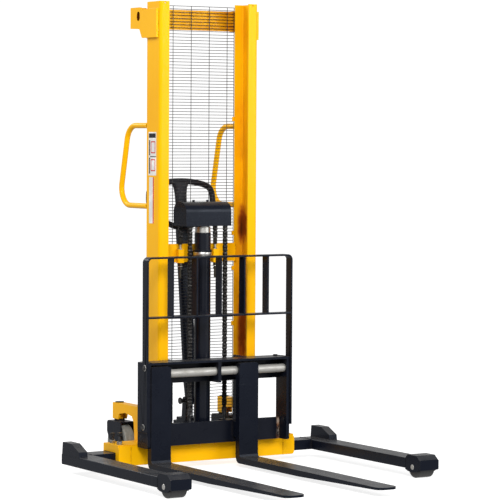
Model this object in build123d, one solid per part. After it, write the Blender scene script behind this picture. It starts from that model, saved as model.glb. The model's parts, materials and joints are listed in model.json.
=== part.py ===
"""Manual hydraulic straddle stacker, one STEP file per named piece.

Millimetres, +Z up, forks towards -Y. "Left" and "right" are as seen from the fork side, so left is -X.
The pieces are drawn about the mast datum, where y = 0 is the front face of the mast channels, and are
moved along Y on export so that the origin is the bottom centre of the whole machine's box.
"""
import os
from math import cos, radians, sin

from build123d import *

# ---- overall -------------------------------------------------------------------------------------
FORK_TIP_Y = -1217.0
REAR_Y = 392.0
SHIFT_Y = -(FORK_TIP_Y + REAR_Y) / 2.0

# ---- mast ----------------------------------------------------------------------------------------
MAST_TOP = 2090.0
MAST_HALF = 256.0
CHANNEL_DEPTH = 124.0
CHANNEL_FLANGE = 49.0
CHANNEL_WALL = 8.0
CHANNEL_RADIUS = 12.0
FLANGE_HOLE_X = 228.0
FLANGE_HOLE_DROP = 8.0
FLANGE_HOLE_R = 3.5
LIP_X = MAST_HALF - CHANNEL_FLANGE
EAR_WALL = 12.0
EAR_DOUBLER = 16.0
TOP_BEAM_Y = 134.0
TOP_BEAM_WALL = 12.0
TOP_BEAM_Z = (1970.0, 2060.0)
MID_BEAM_Y = 106.0
MID_BEAM_Z = (920.0, 1003.0)

# ---- base and straddle legs ----------------------------------------------------------------------
BASE_BOTTOM = 28.0
BASE_TOP = 120.0
BASE_HALF = 461.0
END_FRAME = 8.0
BASE_FRONT_Y = 0.0
BASE_REAR_Y = 136.0
BASE_WALL = 6.0
COLLAR_X = 400.0
FRONT_PLATE_Y = -8.0
FRONT_PLATE_TOP = 116.0
BOSS_X = 39.0
BOSS_Z = 102.0
SLEEVE_WALL = 5.0
SLEEVE_INNER_X = 180.0
LEG_OUT_X = 677.0
LEG_WIDTH = 100.0
LEG_BOTTOM = 38.0
LEG_HEIGHT = 46.0
LEG_WALL = 5.0
LEG_REAR_Y = 125.0
LEG_END_Y = -730.0
STUB_FRONT_Y = 25.0
STUB_INNER_X = 300.0
SLIDE_GAP = 1.0
BRACKET_FRONT_Y = -836.0
LOAD_ROLLER_Y = -783.0
LOAD_ROLLER_R = 48.0
LOAD_ROLLER_WIDTH = 76.0
LOAD_AXLE_R = 12.0
CHEEK_WALL = 8.0
COVER_GAP = 2.0
COVER_WALL = 2.5
CLAMP_BOLT_X = 436.0
CLAMP_BOLT_Y = (32.0, 98.0)
CLAMP_BOLT_RISE = (53.0, 45.0)

# ---- rear casters --------------------------------------------------------------------------------
CASTER_X = 278.0
CASTER_Y = 320.0
CASTER_TRAIL = 18.0
CASTER_R = 90.0
CASTER_WIDTH = 50.0
YOKE_TOP = 191.0
YOKE_HALF = 38.0
YOKE_WALL = 6.0
KINGPIN_R = 12.0
ARM_X = (256.0, 303.0)
ARM_WALL = 8.0
ARM_TOP = 274.0
ARM_FOOT = 200.0

# ---- hydraulics and chains -----------------------------------------------------------------------
CYL_Y = 52.0
CYL_R = 37.0
CYL_BORE_R = 31.0
CYL_TOP = 1055.0
GLAND_TOP = 1083.0
GLAND_R = 35.0
RAM_R = 25.0
RAM_BOTTOM = 160.0
CROSSHEAD_BOTTOM = 1086.0
HOUSING_TOP = 1194.0
HOUSING_HALF = 118.0
HOUSING_Y = (-3.0, 112.0)
HOUSING_WALL = 3.0
HOUSING_R = 45.0
COVER_BOLT_X = (-45.0, 28.0)
COVER_BOLT_Y = 58.0
PULLEY_Y = 52.0
PULLEY_Z = 1136.0
PULLEY_PITCH_R = 44.0
PULLEY_WIDTH = 29.0
CHAIN_X = 92.0
CHAIN_WIDTH = 22.0
CHAIN_THICK = 13.0
CHAIN_FRONT_Y = PULLEY_Y - PULLEY_PITCH_R
CHAIN_REAR_Y = PULLEY_Y + PULLEY_PITCH_R
AXLE_R = 10.0
RUN_FIT = 0.05
REAR_CHAIN_BOTTOM = 1030.0
FRONT_CHAIN_BOTTOM = 262.0
ANCHOR_R = 5.5

# ---- carriage and backrest -----------------------------------------------------------------------
SIDE_X = (355.0, 371.0)
CARRIAGE_Y = (-105.0, -15.0)
CARRIAGE_BOTTOM = 110.0
CARRIAGE_TOP = 490.0
TOP_PLATE_Z = (480.0, 490.0)
UPPER_PLATE_Y = (-20.0, -8.0)
UPPER_PLATE_Z = (388.0, 490.0)
LOWER_PLATE_Y = (-50.0, -36.0)
LOWER_PLATE_Z = (110.0, 209.0)
LOWER_PLATE_RIGHT_X = 350.0
BAR_Y = -77.0
BAR_Z = 437.0
BAR_R = 19.0
GUSSET_X = (-8.0, 8.0)
ROLLER_PLATE_X = (190.0, 203.0)
ROLLER_PLATE_REAR_Y = 96.0
ROLLER_PLATE_BOTTOM = 130.0
ROLLER_Y = CHANNEL_DEPTH / 2.0
ROLLER_Z = (185.0, 430.0)
ROLLER_R = 53.2
ROLLER_X = (210.0, 246.0)
ROLLER_PIN_R = 12.5
REST_BAR = 8.0
REST_DEPTH = 45.0
REST_FRONT_Y = -114.0
REST_TOP = 957.0
REST_RADIUS = 25.0
REST_MID_Z = (685.0, 693.0)
REST_PITCH = 124.0
REST_BOTTOM = 181.0
REST_BOLTS = ((-92.0, 468.0), (-79.0, 205.0))
REST_BOLT_R = 6.0

# ---- forks ---------------------------------------------------------------------------------------
FORK_WIDTH = 100.0
FORK_X = (-304.5, 150.5)
SHANK_Y = (-110.0, -78.0)
SHANK_TOP = 472.0
SHANK_CORNER = 14.0
PAD_Z = (135.0, 205.0)
PAD_GAP = 0.5
BLADE_TOP = 44.0
BLADE_BOTTOM = 17.0
TIP_THICK = 10.0
HEEL_CURVE = ((0, 39), (-1.5, 25), (-7, 12), (-16, 3.5), (-28, 0))
EYE_R = 32.0
BAR_FIT = 0.1

# ---- tiller and pump -----------------------------------------------------------------------------
PIVOT_Y = 150.0
PIVOT_Z = 285.0
TILLER_LEAN = 6.2
PIN_R = 8.0
PUMP_HALF = 37.0
PUMP_REAR_Y = 262.0
PUMP_TOP = 205.0
PLUNGER_Y = 195.0
PLUNGER_R = 10.0
PLUNGER_TOP = 276.6
SPRING_TOP = 268.0
NOSE_R = 8.0
HANDLE_Z = (1062.0, 1298.0)
HANDLE_HALF = 183.0
HANDLE_THICK = 30.0
HANDLE_RIM = 30.0
POST_HALF = 40.0
LEVER_Z = (1150.0, 1235.0)
LEVER_PIN_R = 3.0


# ---- helpers -------------------------------------------------------------------------------------
def block(x, y, z):
    """Box from its three (low, high) pairs."""
    size = (x[1] - x[0], y[1] - y[0], z[1] - z[0])
    return Pos((x[0] + x[1]) / 2, (y[0] + y[1]) / 2, (z[0] + z[1]) / 2) * Box(*size)


def side_plate(points, x):
    """Flat plate with a (y, z) outline, between two x positions."""
    outline = make_face(Polyline(*points, close=True))
    return extrude(Plane.YZ.offset(x[0]) * outline, amount=x[1] - x[0])


def front_plate(points, y):
    """Flat plate with an (x, z) outline, between two y positions."""
    outline = make_face(Polyline(*points, close=True))
    return extrude(Plane.XZ.offset(-y[1]) * outline, amount=y[1] - y[0])


def rod_x(x, y, z, r):
    return Pos((x[0] + x[1]) / 2, y, z) * Rot(0, 90, 0) * Cylinder(r, x[1] - x[0])


def rod_y(x, y, z, r):
    return Pos(x, (y[0] + y[1]) / 2, z) * Rot(90, 0, 0) * Cylinder(r, y[1] - y[0])


def rod_z(x, y, z, r):
    return Pos(x, y, (z[0] + z[1]) / 2) * Cylinder(r, z[1] - z[0])


def hex_z(x, y, z, across_flats):
    outline = RegularPolygon(across_flats / 2, 6, major_radius=False)
    return Pos(x, y, z[0]) * extrude(outline, amount=z[1] - z[0])


def hex_x(x, y, z, across_flats):
    outline = RegularPolygon(across_flats / 2, 6, major_radius=False)
    return Pos(x[0], y, z) * Rot(0, 90, 0) * extrude(outline, amount=x[1] - x[0])


def flip(shape):
    """The same piece on the other side of the machine."""
    return mirror(shape, about=Plane.YZ)


def both(shape):
    """A piece and its mirror image, as one group."""
    return [shape, flip(shape)]


def save(name, shape):
    if isinstance(shape, list):
        solids = []
        for item in shape:
            solids.extend(item.solids())
        shape = Compound(solids)
    export_step(shape.moved(Location((0, SHIFT_Y, 0))), f"parts/{name}.step")


def save_pair(name, right):
    """Write a right-hand piece and its left-hand mirror image as two nodes."""
    save(f"{name}_right", right)
    save(f"{name}_left", flip(right))


# ---- mast ----------------------------------------------------------------------------------------
def mast_channel():
    height = (BASE_TOP, MAST_TOP)
    body = block((LIP_X, MAST_HALF), (0, CHANNEL_DEPTH), height)
    corners = body.edges().filter_by(Axis.Z).group_by(Axis.X)[-1]
    body = fillet(corners, CHANNEL_RADIUS)
    inside_x = (LIP_X - 1, MAST_HALF - CHANNEL_WALL)
    inside = block(inside_x, (CHANNEL_WALL, CHANNEL_DEPTH - CHANNEL_WALL), height)
    corners = inside.edges().filter_by(Axis.Z).group_by(Axis.X)[-1]
    body -= fillet(corners, CHANNEL_RADIUS - CHANNEL_WALL)
    hole = rod_y(FLANGE_HOLE_X, (-1, CHANNEL_WALL + 1), MAST_TOP - FLANGE_HOLE_DROP, FLANGE_HOLE_R)
    return body - hole


def mast_ear():
    """Lifting ear on the mast's outer face, thickened behind the channel round its eye."""
    outline = [(CHANNEL_RADIUS, 1929), (144, 1929), (167, 1969), (248, 1973)]
    outline += [(248, 2067), (168, 2067), (154, 2057), (CHANNEL_RADIUS, 2057)]
    plate = side_plate(outline, (MAST_HALF, MAST_HALF + EAR_WALL))
    plate += block((MAST_HALF - EAR_DOUBLER, MAST_HALF), (150, 244), (1976, 2064))
    eye = Plane.YZ.offset(MAST_HALF - EAR_DOUBLER - 1) * Pos(177, 2027) * SlotOverall(42, 28, rotation=90)
    return plate - extrude(eye, amount=EAR_DOUBLER + EAR_WALL + 2)


def top_crossbeam():
    return block((-MAST_HALF, MAST_HALF), (TOP_BEAM_Y, TOP_BEAM_Y + TOP_BEAM_WALL), TOP_BEAM_Z)


def mid_crossbeam():
    return block((-LIP_X, LIP_X), (MID_BEAM_Y, CHANNEL_DEPTH), MID_BEAM_Z)


def push_handle():
    """Bent tube loop behind one channel, its lower end further back."""
    x = 244.0
    tube_r = 12.5
    corners = [(x, CHANNEL_DEPTH, 1537), (x, 303, 1537), (x, 390, 1175), (x, CHANNEL_DEPTH, 1175)]
    path = FilletPolyline(*corners, radius=80)
    start = Plane(origin=corners[0], z_dir=(0, 1, 0))
    return sweep(start * Circle(tube_r), path=path)


# ---- mesh guard ----------------------------------------------------------------------------------
MESH_Y = 126.0
MESH_WIRE = 3.0
MESH_HALF = 208.0
MESH_Z = (200.0, 2086.0)
MESH_PITCH_X = 95.0
MESH_FIRST_X = -115.0
MESH_PITCH_Z = 14.0
MESH_NOTCH = (-45.0, 440.0)
TAB_HEIGHTS = (633.0, 887.0, 1048.0, 1570.0)


def guard_mesh():
    """Welded wire grid: close horizontal wires on wide-spaced upright wires, notched at the low left."""
    height = MESH_Z[1] - MESH_Z[0]
    rows = round((height - MESH_WIRE) / MESH_PITCH_Z)
    uprights = [-MESH_HALF + MESH_WIRE / 2]
    uprights += [MESH_FIRST_X + MESH_PITCH_X * i for i in range(4)]
    uprights += [MESH_HALF - MESH_WIRE / 2]
    windows = []
    gap_z = MESH_PITCH_Z - MESH_WIRE
    for left, right in zip(uprights, uprights[1:]):
        gap_x = right - left - MESH_WIRE
        for row in range(rows):
            centre = (left + right) / 2, MESH_Z[0] + MESH_WIRE / 2 + (row + 0.5) * MESH_PITCH_Z
            windows.append(Wire.make_polygon([
                (centre[0] - gap_x / 2, centre[1] - gap_z / 2),
                (centre[0] + gap_x / 2, centre[1] - gap_z / 2),
                (centre[0] + gap_x / 2, centre[1] + gap_z / 2),
                (centre[0] - gap_x / 2, centre[1] + gap_z / 2)]))
    top = MESH_Z[0] + MESH_WIRE + rows * MESH_PITCH_Z
    low = MESH_Z[0]
    border = Wire.make_polygon([(-MESH_HALF, low), (MESH_HALF, low), (MESH_HALF, top), (-MESH_HALF, top)])
    sheet = Face(border, windows)
    grid = extrude(Plane.XZ.offset(-MESH_Y - MESH_WIRE) * sheet, amount=MESH_WIRE)
    depth = (MESH_Y - 1, MESH_Y + MESH_WIRE + 1)
    notch = block((-MESH_HALF - 1, MESH_NOTCH[0]), depth, (low - 1, MESH_NOTCH[1]))
    return grid - notch


def guard_tabs():
    tabs = []
    for z in TAB_HEIGHTS:
        tabs += both(block((LIP_X - 10, LIP_X), (119, MESH_Y), (z - 10, z + 10)))
    return tabs


# ---- base ----------------------------------------------------------------------------------------
def base_beam():
    """Cross tube with a guide sleeve for each leg's stub at its ends."""
    end = BASE_HALF - END_FRAME
    tube = block((-end, end), (BASE_FRONT_Y, BASE_REAR_Y), (BASE_BOTTOM, BASE_TOP))
    inner_y = (BASE_FRONT_Y + BASE_WALL, BASE_REAR_Y - BASE_WALL)
    inner_z = (BASE_BOTTOM + BASE_WALL, BASE_TOP - BASE_WALL)
    tube -= block((-end - 1, end + 1), inner_y, inner_z)
    bolt_holes = []
    for y in CLAMP_BOLT_Y:
        bolt_holes += both(rod_z(CLAMP_BOLT_X, y, (BASE_TOP - BASE_WALL - 1, BASE_TOP + 1), 6.5))
    return tube - bolt_holes


def base_sleeves():
    gap = SLIDE_GAP
    cavity_y = (STUB_FRONT_Y - gap, LEG_REAR_Y + gap)
    cavity_z = (LEG_BOTTOM - gap, LEG_BOTTOM + LEG_HEIGHT + gap)
    outer_y = (cavity_y[0] - SLEEVE_WALL, BASE_REAR_Y - BASE_WALL)
    outer_z = (BASE_BOTTOM + BASE_WALL, cavity_z[1] + SLEEVE_WALL)
    length = (SLEEVE_INNER_X, BASE_HALF - END_FRAME)
    sleeve = block(length, outer_y, outer_z)
    sleeve -= block((length[0] - 1, length[1] + 1), cavity_y, cavity_z)
    for y in CLAMP_BOLT_Y:
        sleeve -= rod_z(CLAMP_BOLT_X, y, (cavity_z[1] - 1, outer_z[1] + 1), 6.5)
    return both(sleeve)


def base_plates():
    """Front plate with its two bosses and rounded end pieces, and the end frames round the stubs."""
    plate_z = (BASE_BOTTOM, FRONT_PLATE_TOP)
    middle = block((-COLLAR_X + 0.6, COLLAR_X - 0.6), (FRONT_PLATE_Y, BASE_FRONT_Y), plate_z)
    for x in (-BOSS_X, BOSS_X):
        middle += rod_y(x, (FRONT_PLATE_Y - 5, FRONT_PLATE_Y), BOSS_Z, 9)
    collar = block((COLLAR_X, BASE_HALF), (FRONT_PLATE_Y, BASE_FRONT_Y), plate_z)
    ends = collar.edges().filter_by(Axis.Y).group_by(Axis.X)[-1]
    collar = fillet(ends, 15)
    frame_x = (BASE_HALF - END_FRAME, BASE_HALF)
    frame = block(frame_x, (BASE_FRONT_Y, BASE_REAR_Y), (BASE_BOTTOM, BASE_TOP))
    window_y = (STUB_FRONT_Y - 2, LEG_REAR_Y + 2)
    frame -= block((frame_x[0] - 1, frame_x[1] + 1), window_y, (LEG_BOTTOM - 2, LEG_BOTTOM + LEG_HEIGHT + 2))
    return [middle] + both(collar) + both(frame)


def clamp_bolts():
    """Set bolts that press on the legs' stubs, two on each side."""
    bolts = []
    foot = LEG_BOTTOM + LEG_HEIGHT + 0.4
    for y, rise in zip(CLAMP_BOLT_Y, CLAMP_BOLT_RISE):
        neck = BASE_TOP + rise - 14
        shank = rod_z(CLAMP_BOLT_X, y, (foot, neck), 6)
        bolts += both(shank + hex_z(CLAMP_BOLT_X, y, (neck, BASE_TOP + rise), 22))
    return bolts


def clamp_nuts():
    nuts = []
    for y in CLAMP_BOLT_Y:
        nut = hex_z(CLAMP_BOLT_X, y, (BASE_TOP, BASE_TOP + 14), 24)
        nuts += both(nut - rod_z(CLAMP_BOLT_X, y, (BASE_TOP - 1, BASE_TOP + 15), 6.4))
    return nuts


# ---- straddle legs -------------------------------------------------------------------------------
def leg_beam():
    """L-shaped weldment: long tube, stub tube into the base and the raised corner block."""
    inner_x = LEG_OUT_X - LEG_WIDTH
    z = (LEG_BOTTOM, LEG_BOTTOM + LEG_HEIGHT)
    hollow_z = (z[0] + LEG_WALL, z[1] - LEG_WALL)
    beam = block((inner_x, LEG_OUT_X), (LEG_END_Y, LEG_REAR_Y), z)
    beam = fillet(beam.edges().filter_by(Axis.Y), 4)
    beam += block((STUB_INNER_X, inner_x + 10), (STUB_FRONT_Y, LEG_REAR_Y), z)
    block_outline = [(-41, z[1] - 1), (-38, 107), (31, 138), (115, 138), (LEG_REAR_Y - 4, z[1] - 1)]
    beam += side_plate(block_outline, (LEG_OUT_X - 42, LEG_OUT_X))
    wall = LEG_WALL
    beam -= block((inner_x + wall, LEG_OUT_X - wall), (LEG_END_Y + wall, LEG_REAR_Y - wall), hollow_z)
    beam -= block((STUB_INNER_X - 1, inner_x + 20), (STUB_FRONT_Y + wall, LEG_REAR_Y - wall), hollow_z)
    return beam


def wheel_roof(drop):
    """Line of the front wheel bracket's top, from the leg forwards, lowered by a wall thickness."""
    leg_top = LEG_BOTTOM + LEG_HEIGHT
    peak = LOAD_ROLLER_R * 2 + COVER_GAP + COVER_WALL
    return [(LEG_END_Y, leg_top - drop), (LEG_END_Y - 16, peak - drop), (BRACKET_FRONT_Y + 24, peak - drop),
            (BRACKET_FRONT_Y, leg_top - 2 - drop)]


def wheel_cheek(x):
    """One side of the front wheel bracket, raised over the roller and dropped round its axle."""
    y = LOAD_ROLLER_Y
    low = [(BRACKET_FRONT_Y, 42), (-815, 29), (y, 24), (-750, 27), (LEG_END_Y, 34)]
    cheek = side_plate(low + wheel_roof(0), x)
    return cheek - rod_x((x[0] - 1, x[1] + 1), y, LOAD_ROLLER_R, LOAD_AXLE_R)


def wheel_bracket():
    inner = LEG_OUT_X - LEG_WIDTH
    outer_x = (LEG_OUT_X - CHEEK_WALL, LEG_OUT_X)
    inner_x = (inner, inner + CHEEK_WALL)
    across = (inner + CHEEK_WALL, LEG_OUT_X - CHEEK_WALL)
    body = wheel_cheek(outer_x) + wheel_cheek(inner_x)
    front = block((inner, LEG_OUT_X), (BRACKET_FRONT_Y - 6, BRACKET_FRONT_Y), (38, 83))
    body += fillet(front.edges().filter_by(Axis.Y), 6)
    cover = side_plate(wheel_roof(0) + wheel_roof(COVER_WALL)[::-1], across)
    return body + cover


def load_axle():
    length = (LEG_OUT_X - LEG_WIDTH - 1.5, LEG_OUT_X + 1.5)
    axle = rod_x(length, LOAD_ROLLER_Y, LOAD_ROLLER_R, LOAD_AXLE_R)
    return chamfer(axle.edges().filter_by(GeomType.CIRCLE), 1.2)


def load_roller():
    centre = LEG_OUT_X - LEG_WIDTH / 2
    x = (centre - LOAD_ROLLER_WIDTH / 2, centre + LOAD_ROLLER_WIDTH / 2)
    roller = rod_x(x, LOAD_ROLLER_Y, LOAD_ROLLER_R, LOAD_ROLLER_R)
    roller = fillet(roller.edges().filter_by(GeomType.CIRCLE), 4)
    return roller - rod_x((x[0] - 1, x[1] + 1), LOAD_ROLLER_Y, LOAD_ROLLER_R, LOAD_AXLE_R + RUN_FIT)


# ---- rear casters --------------------------------------------------------------------------------
def caster_bracket():
    """Arched box arm behind the mast that carries the caster's kingpin."""
    side = [(100, ARM_TOP), (341, ARM_TOP), (341, ARM_FOOT), (290, ARM_FOOT), (280, 226), (225, 235)]
    side += [(162, 226), (144, 200), (BASE_REAR_Y, BASE_TOP), (100, BASE_TOP)]
    outer = (ARM_X[1] - ARM_WALL, ARM_X[1])
    inner = (ARM_X[0], ARM_X[0] + ARM_WALL)
    arm = side_plate(side, outer) + side_plate(side, inner)
    arm += block(ARM_X, (100, 341), (ARM_TOP - ARM_WALL, ARM_TOP))
    arm += block(ARM_X, (341 - ARM_WALL, 341), (ARM_FOOT, ARM_TOP))
    arm += rod_z(CASTER_X, CASTER_Y, (ARM_FOOT, ARM_TOP), 20)
    return arm - rod_z(CASTER_X, CASTER_Y, (YOKE_TOP, 300), KINGPIN_R + RUN_FIT)


def caster_yoke():
    """Swivel fork with its kingpin, thrust race, top cap and wheel axle."""
    axle_y = CASTER_Y - CASTER_TRAIL
    outline = [(362, YOKE_TOP), (371, 182), (371, 140), (328, 70)]
    outline += [(276, 70), (242, 140), (242, 182), (251, YOKE_TOP)]
    outer = (CASTER_X + YOKE_HALF - YOKE_WALL, CASTER_X + YOKE_HALF)
    inner = (CASTER_X - YOKE_HALF, CASTER_X - YOKE_HALF + YOKE_WALL)
    yoke = side_plate(outline, outer) + side_plate(outline, inner)
    yoke += block((inner[0], outer[1]), (251, 362), (YOKE_TOP - YOKE_WALL, YOKE_TOP))
    race = rod_z(CASTER_X, CASTER_Y, (YOKE_TOP, ARM_FOOT - 0.4), 24)
    kingpin = rod_z(CASTER_X, CASTER_Y, (YOKE_TOP, ARM_TOP + 4), KINGPIN_R)
    cap = rod_z(CASTER_X, CASTER_Y, (ARM_TOP + 0.4, ARM_TOP + 4), 20)
    axle = rod_x((inner[0] - 7, outer[1] + 7), axle_y, CASTER_R, 8)
    return yoke + race + kingpin + cap + axle


def caster_tyre():
    y = CASTER_Y - CASTER_TRAIL
    x = (CASTER_X - CASTER_WIDTH / 2, CASTER_X + CASTER_WIDTH / 2)
    tyre = rod_x(x, y, CASTER_R, CASTER_R)
    tyre = fillet(tyre.edges().filter_by(GeomType.CIRCLE), 5)
    return tyre - rod_x((x[0] - 1, x[1] + 1), y, CASTER_R, 72)


def caster_wheel():
    """Wheel centre: rim, web and hub, inside the tyre."""
    y = CASTER_Y - CASTER_TRAIL
    half = CASTER_WIDTH / 2
    rim = rod_x((CASTER_X - half + 2, CASTER_X + half - 2), y, CASTER_R, 72)
    for side in (-1, 1):
        face = CASTER_X + side * half
        recess = rod_x(tuple(sorted((face, face - side * 17))), y, CASTER_R, 62)
        recess -= rod_x(tuple(sorted((face, face - side * 17))), y, CASTER_R, 20)
        rim -= recess
    return rim - rod_x((CASTER_X - half, CASTER_X + half), y, CASTER_R, 8 + RUN_FIT)


# ---- lift cylinder, crosshead and chains ---------------------------------------------------------
def lift_cylinder():
    barrel = rod_z(0, CYL_Y, (BASE_TOP, CYL_TOP), CYL_R)
    return barrel - rod_z(0, CYL_Y, (BASE_TOP + 25, CYL_TOP + 1), CYL_BORE_R)


def cylinder_gland():
    gland = rod_z(0, CYL_Y, (CYL_TOP, GLAND_TOP), GLAND_R)
    gland = chamfer(gland.edges().filter_by(GeomType.CIRCLE).group_by(Axis.Z)[-1], 2)
    return gland - rod_z(0, CYL_Y, (CYL_TOP - 1, GLAND_TOP + 1), RAM_R + RUN_FIT)


def ram():
    rod = rod_z(0, CYL_Y, (RAM_BOTTOM, CROSSHEAD_BOTTOM), RAM_R)
    return rod + rod_z(0, CYL_Y, (RAM_BOTTOM, RAM_BOTTOM + 30), CYL_BORE_R - RUN_FIT)


def cylinder_clamp():
    """Split clamp round the barrel, on a block from the mid crossbeam."""
    z = (943.0, 977.0)
    ring = rod_z(0, CYL_Y, z, CYL_R + 6)
    ring -= rod_z(0, CYL_Y, (z[0] + 8, z[1] - 8), CYL_R + 7) - rod_z(0, CYL_Y, z, CYL_R + 3)
    ring += block((-26, 26), (CYL_Y + 30, MID_BEAM_Y), (z[0] + 4, z[1] - 4))
    return ring - rod_z(0, CYL_Y, (z[0] - 1, z[1] + 1), CYL_R)


def oil_pipes():
    """Thin return pipe beside the barrel, and the short pressure pipe from the pump."""
    start = (-CYL_R, CYL_Y, 668)
    points = [start, (-52, CYL_Y, 668), (-52, CYL_Y, 152), (-28, BASE_REAR_Y, 152)]
    path = FilletPolyline(*points, radius=9)
    pipe = sweep(Plane(origin=start, z_dir=(-1, 0, 0)) * Circle(4), path=path)
    pipe -= rod_z(0, CYL_Y, (600, 700), CYL_R)
    pipe -= block((-60, 0), (BASE_REAR_Y, BASE_REAR_Y + 20), (140, 170))
    feed = rod_y(12, (CYL_Y + CYL_R - 1.5, BASE_REAR_Y), 135, 7) - rod_z(0, CYL_Y, (120, 150), CYL_R)
    return [pipe, feed]


def crosshead_block():
    """Block on the ram's end, with the pulley axle through it and two cover bolts."""
    body = block((-70, 70), (PULLEY_Y - 25, PULLEY_Y + 25), (CROSSHEAD_BOTTOM, 1165))
    body = fillet(body.edges().filter_by(Axis.X), 6)
    body += block((-62, 62), (PULLEY_Y - 7, PULLEY_Y + 13), (1160, HOUSING_TOP - HOUSING_WALL))
    body += rod_x((-HOUSING_HALF + HOUSING_WALL, HOUSING_HALF - HOUSING_WALL), PULLEY_Y, PULLEY_Z, AXLE_R)
    for x in COVER_BOLT_X:
        body += rod_z(x, COVER_BOLT_Y, (1180, HOUSING_TOP), 5)
        body += rod_z(x, COVER_BOLT_Y, (HOUSING_TOP, HOUSING_TOP + 9), 6)
    return body


def pulley_housing():
    """Sheet cover over both pulleys, open below, rounded along its top edges."""
    def shell(grow, bottom):
        x = (-HOUSING_HALF - grow, HOUSING_HALF + grow)
        y = (HOUSING_Y[0] - grow, HOUSING_Y[1] + grow)
        body = block(x, y, (bottom, HOUSING_TOP + grow))
        return fillet(body.edges().filter_by(Axis.X).group_by(Axis.Z)[-1], HOUSING_R + grow)
    cover = shell(0, CROSSHEAD_BOTTOM) - shell(-HOUSING_WALL, CROSSHEAD_BOTTOM - 1)
    for x in COVER_BOLT_X:
        cover -= rod_z(x, COVER_BOLT_Y, (1180, HOUSING_TOP + 1), 5)
    return cover


def chain_pulleys():
    pulleys = []
    for x in (-CHAIN_X, CHAIN_X):
        span = (x - PULLEY_WIDTH / 2, x + PULLEY_WIDTH / 2)
        groove = (x - CHAIN_WIDTH / 2 - 1.2, x + CHAIN_WIDTH / 2 + 1.2)
        pulley = rod_x(span, PULLEY_Y, PULLEY_Z, PULLEY_PITCH_R + 3)
        cut = rod_x(groove, PULLEY_Y, PULLEY_Z, PULLEY_PITCH_R + 5)
        cut -= rod_x(groove, PULLEY_Y, PULLEY_Z, PULLEY_PITCH_R - CHAIN_THICK / 2 - 0.5)
        pulley -= cut
        pulleys.append(pulley - rod_x((x - 30, x + 30), PULLEY_Y, PULLEY_Z, AXLE_R + RUN_FIT))
    return pulleys


def chain_wraps():
    """The half turn of each chain over its pulley."""
    wraps = []
    for x in (-CHAIN_X, CHAIN_X):
        span = (x - CHAIN_WIDTH / 2, x + CHAIN_WIDTH / 2)
        turn = rod_x(span, PULLEY_Y, PULLEY_Z, PULLEY_PITCH_R + CHAIN_THICK / 2)
        turn -= rod_x((x - 30, x + 30), PULLEY_Y, PULLEY_Z, PULLEY_PITCH_R - CHAIN_THICK / 2)
        wraps.append(turn & block(span, (PULLEY_Y - 60, PULLEY_Y + 60), (PULLEY_Z, PULLEY_Z + 60)))
    return wraps


def chain_runs(y, z):
    runs = []
    for x in (-CHAIN_X, CHAIN_X):
        span = (x - CHAIN_WIDTH / 2, x + CHAIN_WIDTH / 2)
        runs.append(block(span, (y - CHAIN_THICK / 2, y + CHAIN_THICK / 2), z))
    return runs


def anchor_blocks():
    """Square lugs on the mid crossbeam that hold the chains' fixed ends."""
    lugs = []
    for x in (-CHAIN_X, CHAIN_X):
        lug = block((x - 15, x + 15), (84, MID_BEAM_Y), (917, 979))
        lugs.append(lug - rod_z(x, CHAIN_REAR_Y, (900, 990), ANCHOR_R))
    return lugs


def anchor_rods():
    rods = []
    for x in (-CHAIN_X, CHAIN_X):
        y = CHAIN_REAR_Y
        rod = rod_z(x, y, (849, 1012), ANCHOR_R)
        rod += block((x - 8, x + 8), (y - 5, y + 5), (1000, REAR_CHAIN_BOTTOM))
        rod += hex_z(x, y, (904, 917), 18)
        rod += hex_z(x, y, (887, 896), 18)
        rods.append(rod)
    return rods


# ---- pump and tiller -----------------------------------------------------------------------------
def pump_unit():
    """Hand pump with its oil tank, bolted to the back of the base, and the tiller's two ears."""
    body = block((-PUMP_HALF, PUMP_HALF), (BASE_REAR_Y, 222), (44, PUMP_TOP))
    body = fillet(body.edges().filter_by(Axis.Z), 6)
    tank = block((-PUMP_HALF + 3, PUMP_HALF - 3), (216, PUMP_REAR_Y), (60, 186))
    body += fillet(tank.edges().filter_by(Axis.Z).group_by(Axis.Y)[-1], 14)
    ear_outline = [(138, PUMP_TOP - 1), (134, 292), (141, 302), (159, 302), (166, 292), (174, PUMP_TOP - 1)]
    for x in ((28, PUMP_HALF - 1), (-PUMP_HALF + 1, -28)):
        body += side_plate(ear_outline, x)
    body -= rod_x((-60, 60), PIVOT_Y, PIVOT_Z, PIN_R)
    return body - rod_z(0, PLUNGER_Y, (92, PUMP_TOP + 1), PLUNGER_R + RUN_FIT)


def plunger():
    rod = rod_z(0, PLUNGER_Y, (140, PLUNGER_TOP), PLUNGER_R)
    return rod + rod_z(0, PLUNGER_Y, (SPRING_TOP, PLUNGER_TOP), 19)


def pump_spring():
    coil = rod_z(0, PLUNGER_Y, (PUMP_TOP, SPRING_TOP), 17)
    return coil - rod_z(0, PLUNGER_Y, (PUMP_TOP - 1, SPRING_TOP + 1), 12)


def tiller_pin():
    pin = rod_x((-54, 46), PIVOT_Y, PIVOT_Z, PIN_R)
    pin += rod_x((-60, -54), PIVOT_Y, PIVOT_Z, 15)
    return pin + rod_x((41, 46), PIVOT_Y, PIVOT_Z, 13)


def lean(shape):
    """Tip a shape drawn upright back to the tiller's stored angle."""
    pivot = Axis((0, PIVOT_Y, PIVOT_Z), (1, 0, 0))
    return shape.rotate(pivot, -TILLER_LEAN)


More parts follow.
